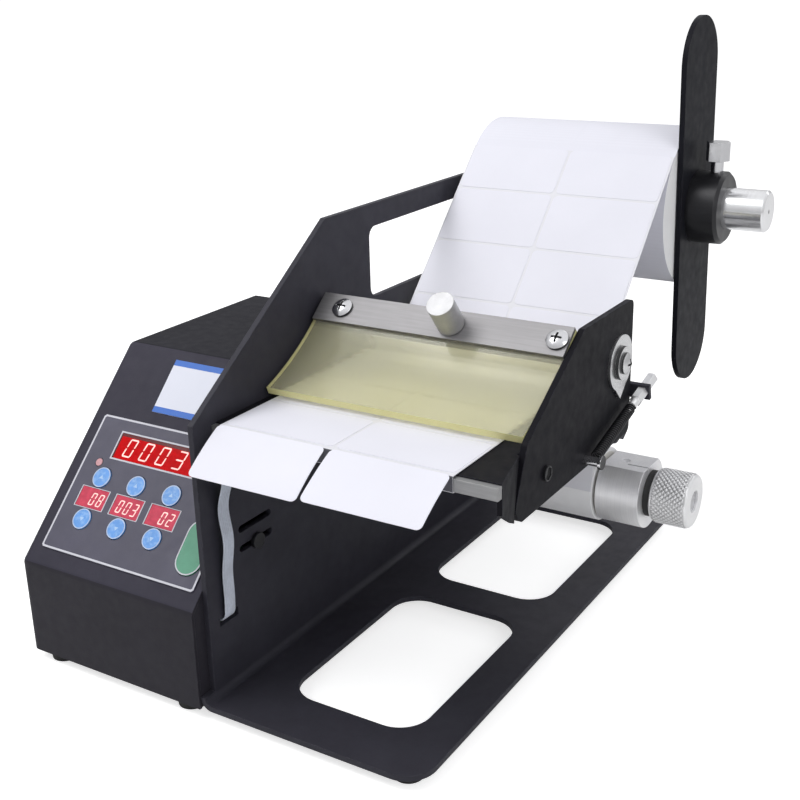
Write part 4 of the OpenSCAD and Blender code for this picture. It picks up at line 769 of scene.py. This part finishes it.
def build_panel():
    """Printed lines, windows, figures, key rims and marks, lamp and sticker bands, and a
    band of painted shadow in the total window.
    """
    ink, face, lit, rim = (raised(layer) for layer in ("ink", "face", "lit", "rim"))
    windows = {x: (x - PRESET_W / 2, PRESET_S - PRESET_H / 2,
                   x + PRESET_W / 2, PRESET_S + PRESET_H / 2) for x, text in PRESETS.values()}
    lines = [frame_plate(panel_outline(0.15), panel_outline(1.05), ink),
             frame_plate(rect(TOTAL, 0.75, 0.75), rect(TOTAL), ink)]
    lines += [frame_plate(rect(box, 0.5, 0.3), rect(box), ink) for box in windows.values()]
    piece("panel_outlines", *merge(lines), "ink", "machine", "membrane")

    inner = rect(TOTAL, -WINDOW_INSET, -WINDOW_INSET)
    piece("total_window", *plate(inner, face), "red_bright", "machine", "display")
    parts = [plate(rect(box, -WINDOW_INSET, -WINDOW_INSET), face) for box in windows.values()]
    piece("preset_windows", *merge(parts), "red_soft", "machine", "display")
    (x0, s0), (x1, s1) = inner[0], inner[2]
    # Painted shadow: a dark red band along the top and down the left of the total window, where
    # the display sits deep behind it
    left, right, side = s1 - 1.4, s1 - 1.8, x0 + 0.7
    shade = [plate([(x0, left), (x1, right), (x1, s1), (x0, s1)], lit),
             plate([(x0, s0), (side, s0), (side, left), (x0, left)], lit)]
    piece("window_painted_shadow", *merge(shade), "red_dark", "machine", "display")
    strokes = figures("00031", TOTAL[0], TOTAL[1], TOTAL_FIGURES)
    for x, text in PRESETS.values():
        strokes += figures(text, x, PRESET_S, PRESET_FIGURES)
    piece("display_digits", *merge(strokes), "digit", "machine", "display")

    for key, (x, text) in PRESETS.items():
        for way, k in (("_up", 1), ("_down", -1)):
            name, s = key + way, PRESET_S + k * KEY_ROW
            ring = frame_plate(disc(x, s, KEY_R - 0.02), disc(x, s, KEY_R - 0.5), rim)
            arrow = [(x - 1.15, s - 0.7 * k), (x + 1.15, s - 0.7 * k), (x, s + 1.1 * k)]
            piece(name + "_rim", *ring, "blue_rim", name + "_key_cap", "blue_key")
            piece(name + "_mark", *plate(arrow[::k], raised("mark")), "key_mark",
                  name + "_key_cap", "blue_key")
    cx, cs, w, h = CONFIRM
    ring = [stadium(cx, cs, w - inset, h - inset) for inset in (0.04, 1.2)]
    piece("confirm_rim", *frame_plate(*ring, rim), "ink", "confirm_key_cap", "green_key")
    piece("lamp_lens", *plate(disc(*LAMP, 24), raised("lens")), "lamp", "machine", "display")
    x0, s0, x1, s1 = STICKER
    bars = [plate(rect((x0, low, x1, low + BAND_W)), raised("band"))
            for low in (s1 - BAND_W, s0)]
    piece("sticker_bands", *merge(bars), "sticker_blue", "machine", "sticker")


build_panel()


def build_box_return():
    """The cover's right-hand wall where it shows ahead of the upright's front edge."""
    wall, back, fold, low, sides = 0.6, 9.0, 1.2, 0.3, (-3.7, -2.55)
    front = BOX_Y0 + wall
    outline = [(front, low), (front, FRONT_H - fold),
               (front + fold * 0.4, FRONT_H - wall * 0.4),
               (back, FRONT_H + back - front - wall), (back, low)]
    points, faces = plate(outline, lambda p, h: (sides[h], *p))
    piece("box_return", points, faces, "box", "machine", "box_paint")


build_box_return()


# ---------------------------------------------------------------- labels and liner
WEB_X = (4.5, 109.5)
WEB_T, GAP, SOLID_SEAM = 0.5, 0.3, 2.0
FLOOR_Z, PEEL_Y, PEEL_LOW = 122.0, 17.5, 116.5
ROLL_R, ROD_R, DRIVE_R, PINCH_R, LINER_R = 38.0, 3.0, 12.0, 8.0, 17.0
SLOPE, NIP = 45, 20
ROD_REACH = ROLL_R + GAP + WEB_T + GAP + ROD_R
ROD_Z = FLOOR_Z + GAP / 2 + WEB_T + GAP + ROD_R
ROD_Y = (SPINDLE[0] - (ROD_REACH + (SPINDLE[1] - ROD_Z) * math.cos(math.radians(SLOPE)))
         / math.sin(math.radians(SLOPE)))
PINCH = (153.9, 94.8)
NIP_REACH = DRIVE_R + PINCH_R + WEB_T + 2 * GAP
DRIVE = (PINCH[0] - NIP_REACH * math.cos(math.radians(NIP)),
         PINCH[1] + NIP_REACH * math.sin(math.radians(NIP)))

# Labels: pitch along the web, seam between two, corner radius, margin beside them
PITCH, SEAM, LABEL_R, MARGIN = 31.0, 1.3, 2.2, 0.9
MIDDLE = (WEB_X[0] + WEB_X[1]) / 2
COLUMNS = ((WEB_X[0] + MARGIN, MIDDLE - SEAM / 2), (MIDDLE + SEAM / 2, WEB_X[1] - MARGIN))
SHORTEST, SHORTEST_ON_ROLL = 5, 8

# Foot and top of the paper above its route
LINER, ON_LINER, ON_ROLL, PEELED = (0.02, 0.3), (0.3, 0.46), (0.0, 0.22), (0.14, 0.36)

# Peeled labels: free length, droop at the edge and curl from there, in degrees
FRONT = dict(left=(25.0, 28.0, 12.0), right=(25.0, 24.0, 11.0))

STOP_STEP = 2.5
CORNER_SHARES = (0.0, 0.08, 0.22, 0.45, 0.7, 1.0)


def run_dir(c1, s1, c2, s2):
    """Heading in degrees of the straight run between two wraps of signed radii."""
    dy, dz = c2[0] - c1[0], c2[1] - c1[1]
    return math.degrees(math.atan2(dz, dy) - math.asin((s2 - s1) / math.hypot(dy, dz)))


def wrap(c, s, a0, a1, steps):
    """Points round a centre at a signed radius, each with its heading, from a0 to a1."""
    headings = [math.radians(a0 + (a1 - a0) * i / steps) for i in range(steps + 1)]
    return [(c[0] + s * math.sin(a), c[1] - s * math.cos(a), a) for a in headings]


def web_route():
    """The liner's underside from the roll to the rewinder: y, z and heading in radians."""
    bend, side = 0.2, GAP / 2
    top = (PEEL_Y + bend, FLOOR_Z - bend + side)
    low = (PEEL_Y + bend, PEEL_LOW + bend)
    drive_s, pinch_s, liner_s = -(DRIVE_R + GAP + WEB_T), PINCH_R + GAP, LINER_R + GAP
    down, nip = 180 + SLOPE, -90 - NIP
    to_drive = run_dir(low, bend + side, DRIVE, drive_s)
    to_rewind = run_dir(PINCH, pinch_s, REWIND, liner_s)
    return (wrap(SPINDLE, ROLL_R + GAP, down, down, 1)[:1]
            + wrap((ROD_Y, ROD_Z), -(ROD_R + GAP + WEB_T), down, 180, 10)
            + wrap(top, bend + side, 180, 270, 6)
            + wrap(low, bend + side, 270, 360 + to_drive, 8)
            + wrap(DRIVE, drive_s, to_drive, nip, 16)
            + wrap(PINCH, pinch_s, nip, to_rewind, 8)
            + wrap(REWIND, liner_s, to_rewind, to_rewind, 1)[:1])


class Route:
    """A route in Y and Z with its length measured."""

    def __init__(self, points):
        self.p = points
        self.s = [0.0]
        for a, b in zip(points, points[1:]):
            self.s.append(self.s[-1] + math.hypot(b[0] - a[0], b[1] - a[1]))

    def place(self, s, out):
        """The point at length s, moved out to the right of the travel."""
        s = min(max(s, 0.0), self.s[-1] - 1e-6)
        i = next(k for k in range(len(self.s) - 1) if self.s[k + 1] > s)
        t = (s - self.s[i]) / (self.s[i + 1] - self.s[i])
        y, z, a = (p + (q - p) * t for p, q in zip(self.p[i], self.p[i + 1]))
        return y + math.sin(a) * out, z - math.cos(a) * out

    def stops(self, s0, s1):
        """Lengths from s0 to s1 in even steps, with the route's own points."""
        count = max(1, int((s1 - s0) / STOP_STEP))
        even = [s0 + (s1 - s0) * i / count for i in range(count + 1)]
        return sorted(set(even + [s for s in self.s if s0 < s < s1]))


def band(route, s0, s1, x0, x1, low, high, r=0.0):
    """A strip of paper that follows the route, with round corners of radius r."""
    stops = route.stops(s0, s1)
    if r:
        extra = [share * r for share in CORNER_SHARES]
        stops = sorted(set(stops + [s0 + d for d in extra] + [s1 - d for d in extra]))
        stops = [s for k, s in enumerate(stops) if k == 0 or s - stops[k - 1] > 1e-4]
    points, faces = [], []
    for s in stops:
        d = min(s - s0, s1 - s)
        inset = r - math.sqrt(max(0.0, r * r - (r - d) ** 2)) if d < r else 0.0
        for h in (low, high):
            y, z = route.place(s, h)
            points += [(x0 + inset, y, z), (x1 - inset, y, z)]
    last = len(points) - 4
    for a in range(0, last, 4):
        b = a + 4
        faces += [[a, b, b + 1, a + 1], [a + 2, a + 3, b + 3, b + 2],
                  [a, a + 2, b + 2, b], [a + 1, b + 1, b + 3, a + 3]]
    faces += [[a, a + 1, a + 3, a + 2] for a in (0, last)]
    return points, faces


def build_web():
    """Liner and its labels; gives where the label at the roll would end, at or below 0."""
    route = Route(web_route())
    points, faces = band(route, 0.0, route.s[-1], *WEB_X, *LINER)
    liner = piece("web_liner", points, faces, "liner", "machine", "paper", ("label_web",),
                  smooth=35)
    # Painted shadow: the liner's front-facing drop at the peel edge gets dark paper
    edge = at(0, PEEL_Y + 1, PEEL_LOW)
    on_faces(liner, "liner_painted_shadow", lambda place, normal, area:
             normal.y < -0.6 and place.y < edge.y and place.z > edge.z)
    floor_start = next(s for s, p in zip(route.s, route.p) if abs(p[2] - math.pi) < 1e-6)
    end = floor_start + (ROD_Y - (PEEL_Y + 1.7))
    parts = []
    while end > 0:
        s0, s1 = max(0.0, end - PITCH + SEAM / 2), end - SEAM / 2
        if s1 - s0 > SHORTEST:
            parts += [band(route, s0, s1, *column, *ON_LINER, LABEL_R) for column in COLUMNS]
        end -= PITCH
    piece("web_labels", *merge(parts), "label", "machine", "paper", smooth=35)
    return end


def build_roll(first):
    """Labels of the roll's outer turn, carried on from the web."""
    start = 180 + SLOPE
    turn = [(y, z, a + math.pi) for y, z, a in wrap(SPINDLE, ROLL_R, start, start - 359.9, 120)]
    route = Route(turn)
    full = route.s[-1]
    parts = []
    s = -first
    while s + SHORTEST_ON_ROLL < full:
        end = min(s + PITCH - SEAM, full - 1.0)
        parts += [band(route, s, end, *column, *ON_ROLL, LABEL_R) for column in COLUMNS]
        s += PITCH
    piece("roll_labels", *merge(parts), "label", "supply_roll", "paper", smooth=35)


def build_front_labels():
    """The two labels that have left the liner at the peel edge."""
    start = (PEEL_Y - GAP / 2 - WEB_T, FLOOR_Z + GAP / 2 + WEB_T + GAP)
    width = (WEB_X[1] - WEB_X[0] - SOLID_SEAM) / 2 - 2 * GAP
    spans = dict(left=(WEB_X[0] + GAP, WEB_X[0] + GAP + width),
                 right=(WEB_X[1] - GAP - width, WEB_X[1] - GAP))
    parts = []
    for side, (free, droop, curl) in FRONT.items():
        r, d = free / math.radians(curl), math.radians(droop)
        middle = (start[0] + r * math.sin(d), start[1] - r * math.cos(d))
        route = Route(wrap(middle, r, 180 + droop, 180 + droop + curl, 16))
        parts.append(band(route, 0.0, free - 0.01, *spans[side], *PEELED, LABEL_R))
    piece("front_labels", *merge(parts), "label", "machine", "paper", ("peeled_labels",),
          smooth=40)


build_roll(build_web())
build_front_labels()


# ---------------------------------------------------------------- knurled knob
KNOB_X, KNOB_R, KNOB_BORE, KNOB_TEETH = (134.3, 151.3), 12.5, 5.05, 34
KNOB_ROWS, KNOB_EDGE, KNOB_DEPTH = 40, 1.3, 0.42


def knurled(t, u, turns):
    """Radius of a diamond knurl at share t of its length and tooth u of its round."""
    ridge = min(abs(2 * ((u + t * turns) % 1) - 1), abs(2 * ((u - t * turns) % 1) - 1))
    return KNOB_R - KNOB_DEPTH + KNOB_DEPTH * min(1.0, 1.5 * ridge)


def build_knob():
    """Turned knob whose rim carries a diamond knurl between two plain edges."""
    around = 6 * KNOB_TEETH
    length = KNOB_X[1] - KNOB_X[0]
    middle = length - 2 * KNOB_EDGE
    turns = middle / (2 * math.pi * KNOB_R / KNOB_TEETH)
    rows = [(0.0, 1.1), (0.5, 0.55), (KNOB_EDGE, 0.45)]
    rows += [(KNOB_EDGE + middle * i / KNOB_ROWS, None) for i in range(1, KNOB_ROWS)]
    rows += [(length - KNOB_EDGE, 0.45), (length - 0.6, 0.5), (length, 1.1)]
    points = []
    for x, inset in rows:
        t = (x - KNOB_EDGE) / middle
        for j in range(around):
            r = KNOB_R - inset if inset else knurled(t, j / around * KNOB_TEETH, turns)
            a = 2 * math.pi * j / around
            points.append((KNOB_X[0] + x, REWIND[0] + r * math.cos(a),
                           REWIND[1] + r * math.sin(a)))
    faces = tube_faces(len(rows), around)
    inner, last = len(points), len(points) - around
    for x in KNOB_X:
        points += [(x, y, z) for y, z in disc(*REWIND, KNOB_BORE, around)]
    for j in range(around):
        k = (j + 1) % around
        faces.append([j, inner + j, inner + k, k])
        faces.append([last + j, last + k, inner + around + k, inner + around + j])
        faces.append([inner + j, inner + around + j, inner + around + k, inner + k])
    piece("knurled_knob", points, faces, "knob", "knob", "aluminium", ("lock_knob",), smooth=32)


build_knob()


# ---------------------------------------------------------------- ribbon cable
BULGE, CABLE_T, CABLE_TOP, SLOT_Z = 4.0, 1.0, 100.0, 35.0
CORES, CORE_SIDES, RIBBON_W, RIBBON_Y = 6, 8, 6.4, 18.2
CORE_LOW, CORE_HIGH = 0.12, 0.34


def ribbon_route():
    """X and Z of the cable: two soft waves down the plate, then a turn into the slot."""
    foot = SLOT_Z + BULGE
    route = []
    for i in range(49):
        u = i / 48
        wave = 0.6 + 0.4 * math.cos(math.radians(720 * u))
        route.append((CABLE_T + BULGE * (1 - u) * wave, CABLE_TOP - u * (CABLE_TOP - foot)))
    for i in range(1, 9):
        a = math.radians(270 - 90 * i / 8)
        route.append((-BULGE + CABLE_T - BULGE * math.sin(a), foot + BULGE * math.cos(a)))
    return route + [(-FRAME_T - BULGE, foot - BULGE)]


def build_ribbon():
    """Flat cable of side-by-side cores along the route of its solid."""
    pitch = RIBBON_W / CORES
    side = []
    for core in range(CORES):
        centre = RIBBON_Y - RIBBON_W / 2 + pitch * (core + 0.5)
        for k in range(CORE_SIDES):
            a = math.pi * (k + 0.5) / CORE_SIDES
            side.append((centre - pitch / 2 * math.cos(a), CORE_LOW + CORE_HIGH * math.sin(a)))
    loop = side + [(y, -h) for y, h in side[::-1]]
    route = ribbon_route()
    points = []
    for i, (x, z) in enumerate(route):
        x1, z1 = route[max(i - 1, 0)]
        x2, z2 = route[min(i + 1, len(route) - 1)]
        d = math.hypot(x2 - x1, z2 - z1)
        nx, nz = (z1 - z2) / d, (x2 - x1) / d
        points += [(x + nx * (CABLE_T / 2 + h), y, z + nz * (CABLE_T / 2 + h)) for y, h in loop]
    faces = tube_faces(len(route), len(loop)) + end_faces(len(route), len(loop))
    piece("ribbon_cores", points, faces, "ribbon", "machine", "ribbon", ("ribbon_cable",),
          smooth=50)


build_ribbon()


# ---------------------------------------------------------------- tension spring
POST = (103.0, 99.9)
STUD_X, STUD_ANGLE, STUD_L, TAB_Y = 126.0, math.radians(14), 12.0, 155.5
WIRE, COIL_R, COILS, SPRING_START = 0.8, 2.0, 28, 2.3
WIRE_SIDES, STEPS_PER_COIL = 10, 20


def build_spring():
    """Close coil between the post and the stud, built in one pose; on the machine it stretches
    as the lever opens.
    """
    end = (TAB_Y - POST[0]) / math.cos(STUD_ANGLE) - STUD_L - GAP
    a0, a1 = SPRING_START + WIRE, end - WIRE
    count = COILS * STEPS_PER_COIL
    line = [(COIL_R, 0.0, SPRING_START)]
    for i in range(count + 1):
        a = 2 * math.pi * i / STEPS_PER_COIL
        line.append((COIL_R * math.cos(a), COIL_R * math.sin(a), a0 + (a1 - a0) * i / count))
    line.append((COIL_R, 0.0, end))
    post = Vector((STUD_X, *POST))
    axis = Vector((0, math.cos(STUD_ANGLE), math.sin(STUD_ANGLE)))
    side = Vector((1, 0, 0))
    up = axis.cross(side)
    places = [post + side * p[0] + up * p[1] + axis * p[2] for p in line]
    points = []
    for i, p in enumerate(places):
        d = (places[min(i + 1, len(places) - 1)] - places[max(i - 1, 0)]).normalized()
        u = p - (post + axis * line[i][2])
        u = (u - d * u.dot(d)).normalized()
        w = d.cross(u)
        for k in range(WIRE_SIDES):
            b = 2 * math.pi * k / WIRE_SIDES
            points.append(tuple(p + (u * math.cos(b) + w * math.sin(b)) * WIRE / 2))
    faces = tube_faces(len(places), WIRE_SIDES) + end_faces(len(places), WIRE_SIDES)
    obj = piece("spring_wire", points, faces, "black", None, "black_metal", ("tension_spring",),
                smooth=60)
    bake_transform(obj)


build_spring()


# ---------------------------------------------------------------- floor, lamps, background
FLOOR_SIZE, FLOOR_GLOW, GLOSSY_SHARE = 30.0, 0.68, 0.35
WORLD_COLOR, WORLD_LOW, WORLD_HIGH, GLOSSY_GAIN = (0.98, 0.985, 1.0), 0.26, 0.60, 0.65

# Name, place and target in metres, size, watts
LAMPS = (
    ("key", (-0.55, -0.55, 1.15), (0, 0, 0.1), (0.7, 0.7), 8.5),
    ("fill", (1.0, -0.5, 0.7), (0, 0, 0.12), (0.6, 0.8), 3.4),
    ("back", (0.3, 1.2, 1.0), (0, 0.05, 0.15), (1.0, 0.5), 2.2),
)


def build_floor():
    """Pale floor that keeps the shadow and shows white to the camera and to glass."""
    n = Look("floor_pale")
    rays = n.add("LightPath").outputs
    straight = n.math("MAXIMUM", rays["Is Camera Ray"], rays["Is Transmission Ray"])
    seen = n.math("MAXIMUM", n.math("MULTIPLY", rays["Is Glossy Ray"], GLOSSY_SHARE), straight)
    tone = n.ranged(n.noise(n.coords(), 3, 3.0), 0.0, 1.0)
    n.put("Base Color", n.mix(tone, (0.74, 0.74, 0.74), (0.77, 0.77, 0.77)))
    n.put("Roughness", 0.9)
    n.put("Specular IOR Level", 0.0)
    n.put("Emission Color", (1.0, 1.0, 1.0))
    n.put("Emission Strength", n.math("MULTIPLY", seen, FLOOR_GLOW))
    mesh = bpy.data.meshes.new("floor")
    outline = rect((0, 0, 0, 0), FLOOR_SIZE, FLOOR_SIZE)
    mesh.from_pydata([(x, y, 0) for x, y in outline], [], [[0, 1, 2, 3]])
    mesh.materials.append(n.mat)
    floor = bpy.data.objects.new("floor", mesh)
    bpy.context.scene.collection.objects.link(floor)


def build_world():
    """Soft light that rises to the top, and a white background for the camera."""
    world = bpy.data.worlds.new("studio")
    world.use_nodes = True
    bpy.context.scene.world = world
    w = Tree(world.node_tree)
    rays = w.add("LightPath").outputs
    rise = w.split(w.add("TexCoord").outputs["Generated"])["Z"]
    level = w.math("MULTIPLY", w.ranged(rise, WORLD_LOW, WORLD_HIGH, (-0.05, 0.85)),
                   w.math("MULTIPLY_ADD", rays["Is Glossy Ray"], GLOSSY_GAIN, 1.0))
    lit, back = w.add("Background"), w.tree.nodes["Background"]
    for node, color, strength in ((lit, WORLD_COLOR, level), (back, (1.0, 1.0, 1.0), 1.0)):
        w.feed(node.inputs["Color"], color)
        w.feed(node.inputs["Strength"], strength)
    mix = w.add("MixShader")
    for socket, source in zip(mix.inputs, (rays["Is Camera Ray"], lit.outputs[0],
                                           back.outputs[0])):
        w.link(source, socket)
    w.link(mix.outputs[0], w.tree.nodes["World Output"].inputs["Surface"])


def add_lamp(name, place, target, size, watts):
    data = bpy.data.lights.new(name, "AREA")
    data.shape, data.energy = "RECTANGLE", watts
    data.size, data.size_y = size
    obj = bpy.data.objects.new(name, data)
    obj.location = place
    obj.rotation_mode = "QUATERNION"
    obj.rotation_quaternion = (Vector(target) - Vector(place)).to_track_quat("-Z", "Y")
    bpy.context.scene.collection.objects.link(obj)


build_floor()
build_world()
for lamp in LAMPS:
    add_lamp(*lamp)
